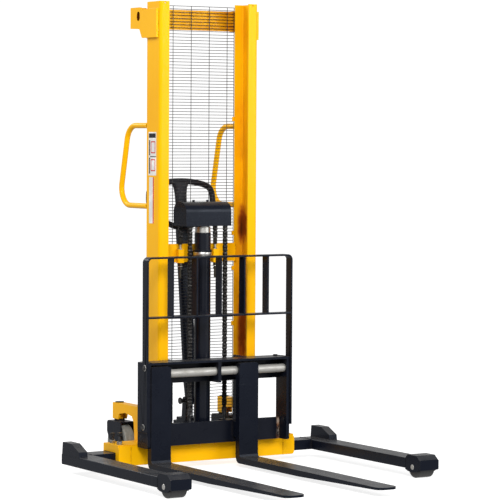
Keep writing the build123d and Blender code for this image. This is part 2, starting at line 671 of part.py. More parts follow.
def tiller_arm():
    """Pivot boss, pump nose and the long arm up to the handle."""
    top = PIVOT_Z + (HANDLE_Z[0] + 10 - PIVOT_Z) / cos(radians(TILLER_LEAN))
    outline = [(-25, PIVOT_Z + 10), (25, PIVOT_Z + 10), (30, PIVOT_Z + 90)]
    outline += [(30, top), (-30, top), (-30, PIVOT_Z + 90)]
    arm = front_plate(outline, (PIVOT_Y - 17, PIVOT_Y + 17))
    arm = fillet(arm.edges().filter_by(GeomType.LINE).filter_by(Axis.Z), 9)
    arm += rod_x((-25, 25), PIVOT_Y, PIVOT_Z, 20)
    nose_z = PIVOT_Z
    web = [(PIVOT_Y, PIVOT_Z + 30), (PLUNGER_Y + 4, nose_z + NOSE_R - 1)]
    web += [(PLUNGER_Y, nose_z), (PIVOT_Y, PIVOT_Z - 5)]
    leaning = lean(arm)
    leaning += side_plate(web, (-12, 12)) + rod_x((-12, 12), PLUNGER_Y, nose_z, NOSE_R)
    return leaning - rod_x((-60, 60), PIVOT_Y, PIVOT_Z, PIN_R + RUN_FIT)


def handle_height(z):
    """Distance along the upright tiller that ends up at height z once it leans."""
    return PIVOT_Z + (z - PIVOT_Z) / cos(radians(TILLER_LEAN))


def handle_ring(inset):
    """Outline of the loop handle, drawn inwards by an inset."""
    low = handle_height(HANDLE_Z[0]) + 1.1 * inset
    top = handle_height(HANDLE_Z[1]) - inset
    half = HANDLE_HALF - inset
    right = [(30 + inset, low), (half - 62, low + 34), (half - 14, low + 60), (half, low + 86)]
    right += [(half, top - 84), (half - 9, top - 50), (half - 32, top - 26), (half - 72, top - 10)]
    right.append((half - 110, top))
    left = [(-x, z) for x, z in reversed(right)]
    return Polyline(*right, *left, close=True)


def tiller_handle():
    """Loop handle with a wide centre post, as one thick casting."""
    y = (PIVOT_Y - HANDLE_THICK / 2, PIVOT_Y + HANDLE_THICK / 2)
    span = HANDLE_THICK
    place = Plane.XZ.offset(-y[1])
    rim = extrude(place * make_face(handle_ring(0)), amount=span)
    rim = fillet(rim.edges().filter_by(Axis.Y), 12)
    gap = extrude(Plane.XZ.offset(-y[1] - 1) * make_face(handle_ring(HANDLE_RIM)), amount=span + 2)
    gap = fillet(gap.edges().filter_by(Axis.Y), 5)
    rim -= gap
    low = handle_height(HANDLE_Z[0])
    top = handle_height(HANDLE_Z[1])
    post = front_plate([(-32, low + 11), (32, low + 11), (POST_HALF, top - 60), (POST_HALF + 6, top - 14),
                        (-POST_HALF - 6, top - 14), (-POST_HALF, top - 60)], y)
    low = handle_height(LEVER_Z[0])
    for x in ((15, 21), (-21, -15)):
        lug = block(x, (y[1] - 1, y[1] + 12), (low - 8, low + 8))
        post += lug - rod_x(x, y[1] + 6, low, LEVER_PIN_R)
    return lean(rim + post) - tiller_arm()


def release_lever():
    """Finger lever for lowering, on the operator's side of the post, turning on a pin at its foot."""
    low = handle_height(LEVER_Z[0])
    back = PIVOT_Y + HANDLE_THICK / 2
    lever = block((-14, 14), (back + 1, back + 9), (low - 4, handle_height(LEVER_Z[1])))
    lever = fillet(lever.edges().filter_by(Axis.Y), 4)
    return lean(lever + rod_x((-21, 21), back + 6, low, LEVER_PIN_R - RUN_FIT))


# ---- carriage ------------------------------------------------------------------------------------
def carriage_side():
    plate = block(SIDE_X, CARRIAGE_Y, (CARRIAGE_BOTTOM, CARRIAGE_TOP))
    plate = fillet(plate.edges().filter_by(Axis.X).group_by(Axis.Z)[0], 10)
    for y, z in REST_BOLTS:
        plate -= rod_x((SIDE_X[0] - 1, SIDE_X[1] + 1), y, z, REST_BOLT_R)
    return plate


def top_plate():
    plate = block((-SIDE_X[0], SIDE_X[0]), (CARRIAGE_Y[0], UPPER_PLATE_Y[0]), TOP_PLATE_Z)
    return plate + rod_z(338, -34, (TOP_PLATE_Z[1], TOP_PLATE_Z[1] + 6), 10)


def cross_plates():
    """Upper and lower cross plates, the bar's centre gusset and the chain brackets."""
    upper = block((-SIDE_X[0], SIDE_X[0]), UPPER_PLATE_Y, UPPER_PLATE_Z)
    lower = block((-SIDE_X[0], LOWER_PLATE_RIGHT_X), LOWER_PLATE_Y, LOWER_PLATE_Z)
    corner = lower.edges().filter_by(Axis.Y).group_by(Axis.X)[-1].sort_by(Axis.Z)[-1]
    lower = fillet(corner, 10)
    gusset = block(GUSSET_X, (CARRIAGE_Y[0], UPPER_PLATE_Y[0]), (UPPER_PLATE_Z[0], TOP_PLATE_Z[0]))
    gusset -= rod_x((GUSSET_X[0] - 1, GUSSET_X[1] + 1), BAR_Y, BAR_Z, BAR_R)
    pieces = [upper, gusset, lower]
    for x in (-CHAIN_X, CHAIN_X):
        shelf = block((x - 20, x + 20), (LOWER_PLATE_Y[1], 24), (197, 209))
        pieces.append(shelf - rod_z(x, CHAIN_FRONT_Y, (190, 220), 7))
    return pieces


def roller_plates():
    """Plates inside the mast that carry the four carriage roller pins."""
    rear = ROLLER_PLATE_REAR_Y
    bottom = ROLLER_PLATE_BOTTOM
    outline = [(UPPER_PLATE_Y[1], UPPER_PLATE_Z[1]), (rear, UPPER_PLATE_Z[1]), (rear, bottom)]
    outline += [(LOWER_PLATE_Y[1], bottom), (LOWER_PLATE_Y[1], LOWER_PLATE_Z[1])]
    outline.append((UPPER_PLATE_Y[1], LOWER_PLATE_Z[1]))
    plate = side_plate(outline, ROLLER_PLATE_X)
    for z in ROLLER_Z:
        plate += rod_x((ROLLER_PLATE_X[1] - 1, ROLLER_X[1]), ROLLER_Y, z, ROLLER_PIN_R)
    return both(plate)


def carriage_rollers(z):
    roller = rod_x(ROLLER_X, ROLLER_Y, z, ROLLER_R)
    roller = fillet(roller.edges().filter_by(GeomType.CIRCLE), 3)
    return both(roller - rod_x((200, 260), ROLLER_Y, z, ROLLER_PIN_R + RUN_FIT))


def fork_bar():
    return rod_x((-SIDE_X[0], SIDE_X[0]), BAR_Y, BAR_Z, BAR_R)


def load_backrest():
    """Flat-bar frame: rounded outer hoop, middle rail, five uprights and bolted side plates."""
    outer = SIDE_X[1] + REST_BAR
    rest_y = (REST_FRONT_Y, REST_FRONT_Y + REST_DEPTH)
    hoop = block((-outer, outer), rest_y, (REST_BOTTOM, REST_TOP))
    hoop = fillet(hoop.edges().filter_by(Axis.Y).group_by(Axis.Z)[-1], REST_RADIUS)
    inside = block((-SIDE_X[1], SIDE_X[1]), (rest_y[0] - 1, rest_y[1] + 1), (0, REST_TOP - REST_BAR))
    inside = fillet(inside.edges().filter_by(Axis.Y).group_by(Axis.Z)[-1], REST_RADIUS - REST_BAR)
    hoop -= inside
    hoop += block((-SIDE_X[1] - 1, SIDE_X[1] + 1), rest_y, REST_MID_Z)
    height = (REST_MID_Z[1] - 1, REST_TOP - REST_BAR + 1)
    for i in range(-2, 3):
        x = i * REST_PITCH
        hoop += block((x - REST_BAR / 2, x + REST_BAR / 2), rest_y, height)
    ear = side_plate([(-111, REST_BOTTOM), (-27, REST_BOTTOM), (-27, CARRIAGE_TOP), (-111, CARRIAGE_TOP)],
                     (SIDE_X[1], outer))
    for y, z in REST_BOLTS:
        ear -= rod_x((SIDE_X[1] - 1, outer + 1), y, z, REST_BOLT_R)
    for shape in both(ear):
        hoop += shape
    for y, z in REST_BOLTS:
        hoop -= rod_x((-outer - 1, outer + 1), y, z, REST_BOLT_R)
    return hoop


def carriage_fasteners():
    """Backrest bolts through the side plates, and the chain rods under their brackets."""
    outer = SIDE_X[1] + REST_BAR
    pieces = []
    for y, z in REST_BOLTS:
        bolt = rod_x((SIDE_X[0], outer), y, z, REST_BOLT_R) + hex_x((outer, outer + 7), y, z, 19)
        pieces += both(bolt)
    for x in (-CHAIN_X, CHAIN_X):
        y = CHAIN_FRONT_Y
        rod = rod_z(x, y, (155, 244), 7)
        rod += block((x - 10, x + 10), (y - 6, y + 6), (236, FRONT_CHAIN_BOTTOM))
        rod += hex_z(x, y, (183, 197), 22)
        pieces.append(rod)
    return pieces


# ---- forks ---------------------------------------------------------------------------------------
def fork():
    """Bent fork: upright shank with an eye on the bar, and a blade that thins towards its tip."""
    tip_z = BLADE_TOP - 2
    outline = [(SHANK_Y[1], SHANK_TOP)]
    outline += [(SHANK_Y[1] + back, BLADE_BOTTOM + up) for back, up in HEEL_CURVE]
    outline.append((-600, BLADE_BOTTOM))
    outline += [(FORK_TIP_Y, tip_z - TIP_THICK), (FORK_TIP_Y, tip_z), (-700, BLADE_TOP)]
    outline += [(SHANK_Y[0] - 12, BLADE_TOP), (SHANK_Y[0] - 3.5, BLADE_TOP + 3.5)]
    outline += [(SHANK_Y[0], BLADE_TOP + 12), (SHANK_Y[0], SHANK_TOP)]
    half = FORK_WIDTH / 2
    body = side_plate(outline, (-half, half))
    tip_edges = body.edges().filter_by(Axis.Z).group_by(Axis.Y)[0]
    body = fillet(tip_edges, 34)
    body += rod_x((-half, half), BAR_Y, BAR_Z, EYE_R)
    body += block((-half, half), (SHANK_Y[1], LOWER_PLATE_Y[0] - PAD_GAP), PAD_Z)
    limit = block((-half, half), (FORK_TIP_Y - 1, 0), (0, SHANK_TOP))
    body &= fillet(limit.edges().filter_by(Axis.Y).group_by(Axis.Z)[-1], SHANK_CORNER)
    return body - rod_x((-half - 1, half + 1), BAR_Y, BAR_Z, BAR_R + BAR_FIT)


def main():
    os.makedirs("parts", exist_ok=True)
    save_pair("mast_channel", mast_channel())
    save("mast_top_crossbeam", [top_crossbeam()] + both(mast_ear()))
    save("mast_mid_crossbeam", mid_crossbeam())
    save_pair("push_handle", push_handle())
    save("guard_mesh", guard_mesh())
    save("guard_tabs", guard_tabs())
    save("base_beam", base_beam())
    save("base_sleeves", base_sleeves())
    save("base_plates", base_plates())
    save("clamp_bolts", clamp_bolts())
    save("clamp_nuts", clamp_nuts())
    save_pair("leg_beam", leg_beam())
    save_pair("wheel_bracket", wheel_bracket())
    save_pair("load_axle", load_axle())
    save_pair("load_roller", load_roller())
    save_pair("caster_bracket", caster_bracket())
    save_pair("caster_yoke", caster_yoke())
    save_pair("caster_tyre", caster_tyre())
    save_pair("caster_wheel", caster_wheel())
    save("lift_cylinder", lift_cylinder())
    save("cylinder_gland", cylinder_gland())
    save("cylinder_clamp", cylinder_clamp())
    save("oil_pipes", oil_pipes())
    save("ram", ram())
    save("crosshead_block", crosshead_block())
    save("pulley_housing", pulley_housing())
    save("chain_pulleys", chain_pulleys())
    save("chain_wraps", chain_wraps())
    save("chain_rear_runs", chain_runs(CHAIN_REAR_Y, (REAR_CHAIN_BOTTOM, PULLEY_Z)))
    save("chain_front_runs", chain_runs(CHAIN_FRONT_Y, (FRONT_CHAIN_BOTTOM, PULLEY_Z)))
    save("chain_anchor_lugs", anchor_blocks())
    save("chain_anchor_rods", anchor_rods())
    save("pump_unit", pump_unit())
    save("pump_plunger", plunger())
    save("pump_spring", pump_spring())
    save("tiller_pin", tiller_pin())
    save("tiller_arm", tiller_arm())
    save("tiller_handle", tiller_handle())
    save("release_lever", release_lever())
    save("carriage_sides", both(carriage_side()))
    save("carriage_top_plate", top_plate())
    save("carriage_cross_plates", cross_plates())
    save("roller_plates", roller_plates())
    save("carriage_rollers_lower", carriage_rollers(ROLLER_Z[0]))
    save("carriage_rollers_upper", carriage_rollers(ROLLER_Z[1]))
    save("fork_bar", fork_bar())
    save("load_backrest", load_backrest())
    save("carriage_fasteners", carriage_fasteners())
    save("fork_left", Pos(FORK_X[0], 0, 0) * fork())
    save("fork_right", Pos(FORK_X[1], 0, 0) * fork())


main()
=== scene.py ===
import json
import math
import random

import bmesh
import bpy
from mathutils import Matrix, Vector


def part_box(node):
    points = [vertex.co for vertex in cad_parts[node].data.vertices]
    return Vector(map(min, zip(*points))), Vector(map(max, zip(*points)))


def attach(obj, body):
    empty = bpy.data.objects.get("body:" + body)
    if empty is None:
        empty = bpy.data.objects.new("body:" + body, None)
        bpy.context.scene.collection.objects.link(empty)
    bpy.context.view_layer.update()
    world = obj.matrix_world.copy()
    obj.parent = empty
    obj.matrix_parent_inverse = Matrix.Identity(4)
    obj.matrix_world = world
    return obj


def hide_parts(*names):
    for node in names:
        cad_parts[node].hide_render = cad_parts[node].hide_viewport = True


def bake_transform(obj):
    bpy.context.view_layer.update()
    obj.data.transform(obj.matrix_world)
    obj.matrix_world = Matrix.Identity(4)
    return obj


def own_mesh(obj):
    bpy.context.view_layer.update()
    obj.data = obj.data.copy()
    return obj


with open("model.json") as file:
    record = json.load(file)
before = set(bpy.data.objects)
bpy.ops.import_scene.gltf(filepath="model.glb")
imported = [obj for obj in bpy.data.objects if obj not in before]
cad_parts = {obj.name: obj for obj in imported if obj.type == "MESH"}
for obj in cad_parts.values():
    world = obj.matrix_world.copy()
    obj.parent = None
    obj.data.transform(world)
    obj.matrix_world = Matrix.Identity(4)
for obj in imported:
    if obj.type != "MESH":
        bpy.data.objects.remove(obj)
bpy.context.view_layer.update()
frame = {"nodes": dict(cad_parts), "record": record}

random.seed(7)

# ---- places taken from the frame ------------------------------------------------------------------
NODES = frame["nodes"]
Y0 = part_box("mast_channel_right")[0].y
MESH_LOW, MESH_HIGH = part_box("guard_mesh")
RUN_LOW, RUN_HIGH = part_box("chain_front_runs")
REAR_LOW, REAR_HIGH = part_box("chain_rear_runs")
WRAP_LOW, WRAP_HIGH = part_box("chain_wraps")
SPRING_LOW, SPRING_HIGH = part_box("pump_spring")


def at(x, y, z):
    """Point given in millimetres from the mast's front face, in the row frame."""
    return Vector((x / 1000, y / 1000 + Y0, z / 1000))


# ---- node helpers ---------------------------------------------------------------------------------
class Graph:
    """A material's node tree with short calls for the nodes used here."""

    def __init__(self, name):
        self.mat = bpy.data.materials.new(name)
        self.mat.use_nodes = True
        self.tree = self.mat.node_tree
        self.tree.nodes.clear()
        self.out = self.node("ShaderNodeOutputMaterial")
        self.bsdf = self.node("ShaderNodeBsdfPrincipled")
        self.link(self.bsdf.outputs[0], self.out.inputs[0])
        coords = self.node("ShaderNodeTexCoord")
        self.place = coords.outputs["Object"]

    def node(self, kind, **settings):
        made = self.tree.nodes.new(kind)
        for key, value in settings.items():
            setattr(made, key, value)
        return made

    def link(self, a, b):
        self.tree.links.new(a, b)

    def put(self, socket, value):
        if isinstance(value, bpy.types.NodeSocket):
            self.link(value, socket)
        else:
            socket.default_value = value

    def stretch(self, scale):
        mapping = self.node("ShaderNodeMapping")
        mapping.inputs["Scale"].default_value = scale
        self.link(self.place, mapping.inputs["Vector"])
        return mapping.outputs[0]

    def noise(self, scale, detail=3.0, rough=0.55, place=None):
        made = self.node("ShaderNodeTexNoise")
        self.link(place or self.place, made.inputs["Vector"])
        made.inputs["Scale"].default_value = scale
        made.inputs["Detail"].default_value = detail
        made.inputs["Roughness"].default_value = rough
        return made.outputs["Fac"]

    def ramp(self, value, low, high, to_low=0.0, to_high=1.0):
        made = self.node("ShaderNodeMapRange")
        self.put(made.inputs["Value"], value)
        made.inputs["From Min"].default_value = low
        made.inputs["From Max"].default_value = high
        made.inputs["To Min"].default_value = to_low
        made.inputs["To Max"].default_value = to_high
        return made.outputs[0]

    def math(self, kind, a, b=0.0):
        made = self.node("ShaderNodeMath", operation=kind)
        self.put(made.inputs[0], a)
        self.put(made.inputs[1], b)
        return made.outputs[0]

    def mix(self, factor, a, b):
        made = self.node("ShaderNodeMix", data_type="RGBA")
        self.put(made.inputs[0], factor)
        self.put(made.inputs[6], a)
        self.put(made.inputs[7], b)
        return made.outputs[2]

    def bump(self, height, strength, distance):
        made = self.node("ShaderNodeBump")
        self.put(made.inputs["Height"], height)
        made.inputs["Strength"].default_value = strength
        made.inputs["Distance"].default_value = distance
        return made

    def edges(self, radius):
        """1 on the object's edges, 0 on its flats."""
        bevel = self.node("ShaderNodeBevel", samples=4)
        bevel.inputs["Radius"].default_value = radius
        plain = self.node("ShaderNodeNewGeometry")
        dot = self.node("ShaderNodeVectorMath", operation="DOT_PRODUCT")
        self.link(bevel.outputs[0], dot.inputs[0])
        self.link(plain.outputs["Normal"], dot.inputs[1])
        return self.ramp(dot.outputs["Value"], 0.995, 0.8)

    def corners(self, distance):
        """1 deep in the corners between surfaces, 0 in the open."""
        made = self.node("ShaderNodeAmbientOcclusion", samples=4)
        made.inputs["Distance"].default_value = distance
        return self.ramp(made.outputs["AO"], 0.75, 0.25)

    def up(self):
        """1 on surfaces that face upwards."""
        plain = self.node("ShaderNodeNewGeometry")
        split = self.node("ShaderNodeSeparateXYZ")
        self.link(plain.outputs["Normal"], split.inputs[0])
        return self.ramp(split.outputs["Z"], 0.6, 0.95)

    def axes(self):
        split = self.node("ShaderNodeSeparateXYZ")
        self.link(self.place, split.inputs[0])
        return split.outputs


def rgb(r, g, b):
    return (r, g, b, 1.0)


# ---- materials ------------------------------------------------------------------------------------
def enamel(name, base, deep, edge, rough, peel, dust=None, wear_and_highlight=0.35, gloss=0.3, tint=(1.0, 1.0, 1.0),
           coat=0.0):
    """Sprayed enamel: orange peel, faint scratches, rubbed edges that are partly a painted highlight, dirt and
    painted shade in corners, dust and painted sheen on top.
    """
    g = Graph(name)
    cloud = g.noise(3.1, 4.0)
    colour = g.mix(g.ramp(cloud, 0.35, 0.7, 0.0, 0.5), base, deep)
    fine = g.noise(42.0, 5.0, 0.65)
    colour = g.mix(g.ramp(fine, 0.62, 0.8, 0.0, 0.25), colour, deep)
    # Dust and painted sheen: upward faces turned towards the dust colour.
    if dust:
        dust_and_sheen = g.math("MULTIPLY", g.up(), g.ramp(g.noise(19.0, 6.0, 0.7), 0.3, 0.75, 0.25, 0.8))
        colour = g.mix(g.math("MULTIPLY", dust_and_sheen, 0.26), colour, dust)
    scratch_a = g.noise(60.0, 2.0, 0.5, g.stretch((1.0, 1.0, 0.045)))
    scratch_b = g.noise(75.0, 2.0, 0.5, g.stretch((0.06, 0.06, 1.0)))
    scratches = g.math("MAXIMUM", g.ramp(scratch_a, 0.715, 0.76), g.ramp(scratch_b, 0.72, 0.765))
    patchy = g.ramp(g.noise(5.5, 3.0), 0.48, 0.62)
    scratches = g.math("MULTIPLY", scratches, patchy)
    colour = g.mix(g.math("MULTIPLY", scratches, 0.35), colour, edge)
    # Lighter edges: rubbed paint, partly a painted highlight.
    worn_and_highlit = g.math("MULTIPLY", g.edges(0.0022), g.ramp(g.noise(34.0, 5.0, 0.7), 0.46, 0.66))
    colour = g.mix(g.math("MULTIPLY", worn_and_highlit, wear_and_highlight), colour, edge)
    # Darker and browner in the corners: dirt, partly painted shade.
    dirt_and_shade = g.corners(0.035)
    colour = g.mix(g.math("MULTIPLY", dirt_and_shade, 0.42), colour, rgb(0.03, 0.022, 0.014))
    g.put(g.bsdf.inputs["Base Color"], colour)
    rough_map = g.ramp(g.noise(11.0, 4.0, 0.6), 0.3, 0.7, rough - 0.05, rough + 0.09)
    rough_map = g.math("ADD", rough_map, g.math("MULTIPLY", dirt_and_shade, 0.2))
    rough_map = g.math("ADD", rough_map, g.math("MULTIPLY", scratches, 0.15))
    g.put(g.bsdf.inputs["Roughness"], rough_map)
    g.bsdf.inputs["Specular IOR Level"].default_value = gloss
    g.bsdf.inputs["Specular Tint"].default_value = (*tint, 1.0)
    g.bsdf.inputs["Coat Weight"].default_value = coat
    g.bsdf.inputs["Coat Roughness"].default_value = 0.11
    orange_peel = g.bump(g.noise(peel, 2.0, 0.4), 0.09, 0.0006)
    sag = g.bump(g.noise(24.0, 2.0, 0.5), 0.12, 0.0012)
    g.link(orange_peel.outputs[0], sag.inputs["Normal"])
    g.put(g.bsdf.inputs["Normal"], sag.outputs[0])
    return g


def mast_paint(name, base, deep, edge):
    """The mast's enamel, with grease down the inside of the channels, dirt and painted shade on the crossbeam
    behind them, and painted shade in the ears' dark eyes.
    """
    g = enamel(name, base, deep, edge, 0.34, 330.0, gloss=0.3, tint=GOLD, coat=0.10)
    x, y, z = g.axes()
    side = g.math("ABSOLUTE", x)
    inside = g.math("MULTIPLY", g.ramp(side, 0.2495, 0.2475), g.ramp(side, 0.2065, 0.2085))
    middle = g.math("ABSOLUTE", g.math("SUBTRACT", y, Y0 + 0.100))
    track = g.ramp(middle, 0.026, 0.006)
    smear = g.ramp(g.noise(5.0, 5.0, 0.65, g.stretch((1.0, 3.0, 0.5))), 0.40, 0.58)
    low = g.ramp(z, 1.9, 0.4, 0.3, 1.0)
    mask = g.math("MULTIPLY", g.math("MULTIPLY", inside, track), g.math("MULTIPLY", smear, low))
    spots = 0.0
    for height, tall, strength in ((1.085, 0.085, 0.92), (0.60, 0.19, 0.75), (1.42, 0.05, 0.18)):
        spot_z = g.math("DIVIDE", g.math("SUBTRACT", z, height), tall)
        spot_y = g.math("DIVIDE", g.math("SUBTRACT", y, Y0 + 0.103), 0.034)
        away = g.math("ADD", g.math("MULTIPLY", spot_z, spot_z), g.math("MULTIPLY", spot_y, spot_y))
        away = g.math("ADD", away, g.ramp(g.noise(26.0, 4.0), 0.3, 0.7, -0.25, 0.25))
        spots = g.math("MAXIMUM", spots, g.ramp(away, 1.7, 0.1, 0.0, strength))
    spots = g.math("MULTIPLY", spots, g.math("MULTIPLY", inside, g.ramp(side, 0.212, 0.243)))
    mask = g.math("MAXIMUM", g.math("MULTIPLY", mask, 0.6), spots)
    mask = g.math("MULTIPLY", mask, g.ramp(x, -0.01, 0.01, 0.35, 1.0))
    # Dirt and painted shade: the crossbeam behind the channels darker and browner, more so to the right.
    beam_shade_and_dirt = g.math("MULTIPLY", g.ramp(y, Y0 + 0.125, Y0 + 0.130), g.ramp(side, 0.250, 0.245))
    grain = g.noise(7.0, 4.0, 0.6, g.stretch((1.0, 1.0, 3.0)))
    beam_shade_and_dirt = g.math("MULTIPLY", beam_shade_and_dirt, g.ramp(grain, 0.35, 0.65, 0.3, 0.75))
    beam_shade_and_dirt = g.math("MULTIPLY", beam_shade_and_dirt, g.ramp(x, -0.10, 0.20, 0.20, 0.60))
    mask = g.math("MAXIMUM", mask, beam_shade_and_dirt)
    # Painted shade: the ears' eyes darkened where the holes' insides lie in shade.
    eye_y = g.math("DIVIDE", g.math("SUBTRACT", y, Y0 + 0.177), 0.0146)
    eye_z = g.math("DIVIDE", g.math("SUBTRACT", z, 2.027), 0.0216)
    eye_shade = g.math("ADD", g.math("MULTIPLY", eye_y, eye_y), g.math("MULTIPLY", eye_z, eye_z))
    eye_shade = g.math("MULTIPLY", g.math("LESS_THAN", eye_shade, 1.12), g.math("LESS_THAN", side, 0.2665))
    mask = g.math("MAXIMUM", mask, g.math("MULTIPLY", eye_shade, 0.93))
    # The mask turns the enamel warm brown, then dark brown: real grease, and painted shade on the crossbeam and
    # in the eyes.
    old = g.bsdf.inputs["Base Color"].links[0].from_socket
    warm = g.mix(g.ramp(mask, 0.0, 0.55), old, rgb(0.42, 0.085, 0.008))
    g.put(g.bsdf.inputs["Base Color"], g.mix(g.ramp(mask, 0.35, 0.85), warm, rgb(0.085, 0.017, 0.003)))
    g.put(g.bsdf.inputs["Specular IOR Level"], g.ramp(mask, 0.0, 1.0, 0.3, 0.0))
    g.put(g.bsdf.inputs["Coat Weight"], g.ramp(mask, 0.0, 1.0, 0.10, 0.0))
    return g.mat


def plate_paint(name, base, deep, edge):
    """The carriage's black enamel, burnt and rusty beside the weld at its lower right end."""
    g = enamel(name, base, deep, edge, 0.30, 300.0, gloss=0.17)
    x, y, z = g.axes()
    strip = g.math("MULTIPLY", g.ramp(x, 0.333, 0.344), g.math("LESS_THAN", y, Y0 - 0.030))
    strip = g.math("MULTIPLY", strip, g.math("LESS_THAN", z, 0.215))
    flecks = g.ramp(g.noise(60.0, 5.0, 0.7, g.stretch((1.0, 1.0, 0.4))), 0.42, 0.58)
    old = g.bsdf.inputs["Base Color"].links[0].from_socket
    rusty = g.mix(g.ramp(g.noise(38.0, 4.0), 0.40, 0.62), rgb(0.26, 0.10, 0.035), rgb(0.46, 0.40, 0.33))
    g.put(g.bsdf.inputs["Base Color"], g.mix(g.math("MULTIPLY", strip, flecks), old, rusty))
    return g.mat


def bare_steel(name, base, stain, rough, grain=(1.0, 1.0, 1.0), stained=0.35, metal=1.0):
    """Zinc-plated or turned steel with a directional grain and a few stains."""
    g = Graph(name)
    cloud = g.noise(28.0, 5.0, 0.6)
    colour = g.mix(g.ramp(cloud, 0.5, 0.72, 0.0, stained), base, stain)
    # Painted shade: darker in the corners.
    colour = g.mix(g.math("MULTIPLY", g.corners(0.012), 0.6), colour, rgb(0.04, 0.032, 0.026))
    g.put(g.bsdf.inputs["Base Color"], colour)
    g.bsdf.inputs["Metallic"].default_value = metal
    lines = g.noise(210.0, 3.0, 0.6, g.stretch(grain))
    rough_map = g.ramp(cloud, 0.35, 0.7, rough, rough + 0.14)
    rough_map = g.math("ADD", g.ramp(lines, 0.3, 0.7, -0.07, 0.09), rough_map)
    g.put(g.bsdf.inputs["Roughness"], rough_map)
    g.put(g.bsdf.inputs["Normal"], g.bump(lines, 0.12, 0.0004).outputs[0])
    return g.mat


def anchor_steel(name):
    """The anchor rods' zinc, with oily black chain ends above and grimy threads below the lugs."""
    mat = bare_steel(name, rgb(0.50, 0.48, 0.42), rgb(0.26, 0.21, 0.14), 0.34)
    tree = mat.node_tree
    bsdf = next(n for n in tree.nodes if n.type == "BSDF_PRINCIPLED")
    place = next(n for n in tree.nodes if n.type == "TEX_COORD")
    split = tree.nodes.new("ShaderNodeSeparateXYZ")
    tree.links.new(place.outputs["Object"], split.inputs[0])
    shade = tree.nodes.new("ShaderNodeValToRGB")
    shade.color_ramp.interpolation = "CONSTANT"
    shade.color_ramp.elements[0].color = (0.22, 0.21, 0.19, 1.0)
    middle = shade.color_ramp.elements.new(0.917)
    middle.color = (1.0, 1.0, 1.0, 1.0)
    shade.color_ramp.elements[2].position = 0.999
    shade.color_ramp.elements[2].color = (0.05, 0.047, 0.044, 1.0)
    tree.links.new(split.outputs["Z"], shade.inputs[0])
    mixed = tree.nodes.new("ShaderNodeMix")
    mixed.data_type = "RGBA"
    mixed.blend_type = "MULTIPLY"
    mixed.inputs[0].default_value = 1.0
    old = bsdf.inputs["Base Color"].links[0].from_socket
    tree.links.new(old, mixed.inputs[6])
    tree.links.new(shade.outputs[0], mixed.inputs[7])
    tree.links.new(mixed.outputs[2], bsdf.inputs["Base Color"])
    return mat


def oiled_steel(name, base, shine, rough):
    """Dark, oily steel of the chains and bolts: nearly black, with worn bright spots on the edges that are
    partly painted glints.
    """
    g = Graph(name)
    grime = g.noise(70.0, 5.0, 0.65)
    colour = g.mix(g.ramp(grime, 0.4, 0.65), base, rgb(0.014, 0.012, 0.011))
    # Bright edges: worn metal, partly painted glints.
    worn_and_highlit = g.math("MULTIPLY", g.edges(0.0011), g.ramp(g.noise(160.0, 2.0), 0.45, 0.65))
    colour = g.mix(g.math("MULTIPLY", worn_and_highlit, 0.6), colour, shine)
    g.put(g.bsdf.inputs["Base Color"], colour)
    g.bsdf.inputs["Metallic"].default_value = 0.85
    g.put(g.bsdf.inputs["Roughness"], g.ramp(grime, 0.3, 0.7, rough - 0.08, rough + 0.16))
    g.put(g.bsdf.inputs["Normal"], g.bump(g.noise(240.0, 3.0), 0.2, 0.0005).outputs[0])
    return g.mat


def moulded(name, base, rough, grain, bump):
    """Moulded plastic or polyurethane with a fine grain and greyed, handled areas."""
    g = Graph(name)
    rub = g.ramp(g.noise(13.0, 5.0, 0.65), 0.5, 0.75, 0.0, 0.6)
    grey = rgb(base[0] * 2.2 + 0.01, base[1] * 2.2 + 0.01, base[2] * 2.2 + 0.012)
    colour = g.mix(rub, base, grey)
    colour = g.mix(g.math("MULTIPLY", g.edges(0.003), 0.35), colour, grey)
    g.put(g.bsdf.inputs["Base Color"], colour)
    g.put(g.bsdf.inputs["Roughness"], g.ramp(g.noise(36.0, 4.0), 0.3, 0.7, rough - 0.06, rough + 0.1))
    g.bsdf.inputs["Specular IOR Level"].default_value = 0.25
    g.put(g.bsdf.inputs["Normal"], g.bump(g.noise(grain, 3.0, 0.6), bump, 0.0006).outputs[0])
    return g.mat


def tread(name, base, dust):
    """Wheel tread: dark polyurethane, scuffed round its running face and dusty towards the floor."""
    g = Graph(name)
    scuff = g.noise(44.0, 6.0, 0.7, g.stretch((2.5, 1.0, 1.0)))
    colour = g.mix(g.ramp(scuff, 0.45, 0.7, 0.0, 0.5), base, dust)
    colour = g.mix(g.math("MULTIPLY", g.ramp(g.axes()["Z"], 0.05, 0.0), 0.5), colour, dust)
    g.put(g.bsdf.inputs["Base Color"], colour)
    g.put(g.bsdf.inputs["Roughness"], g.ramp(scuff, 0.3, 0.7, 0.34, 0.55))
    g.put(g.bsdf.inputs["Normal"], g.bump(scuff, 0.16, 0.0007).outputs[0])
    return g.mat


GOLD = (1.0, 0.66, 0.05)
YELLOW = rgb(0.97, 0.495, 0.003)
YELLOW_DEEP = rgb(0.90, 0.41, 0.002)
YELLOW_EDGE = rgb(0.98, 0.60, 0.02)
BLACK = rgb(0.0048, 0.0064, 0.0130)
BLACK_DEEP = rgb(0.0038, 0.0048, 0.0085)
BLACK_EDGE = rgb(0.08, 0.082, 0.09)
# Grey for the black's upward faces: settled dust and painted sheen.
DUST_AND_SHEEN = rgb(0.30, 0.29, 0.27)

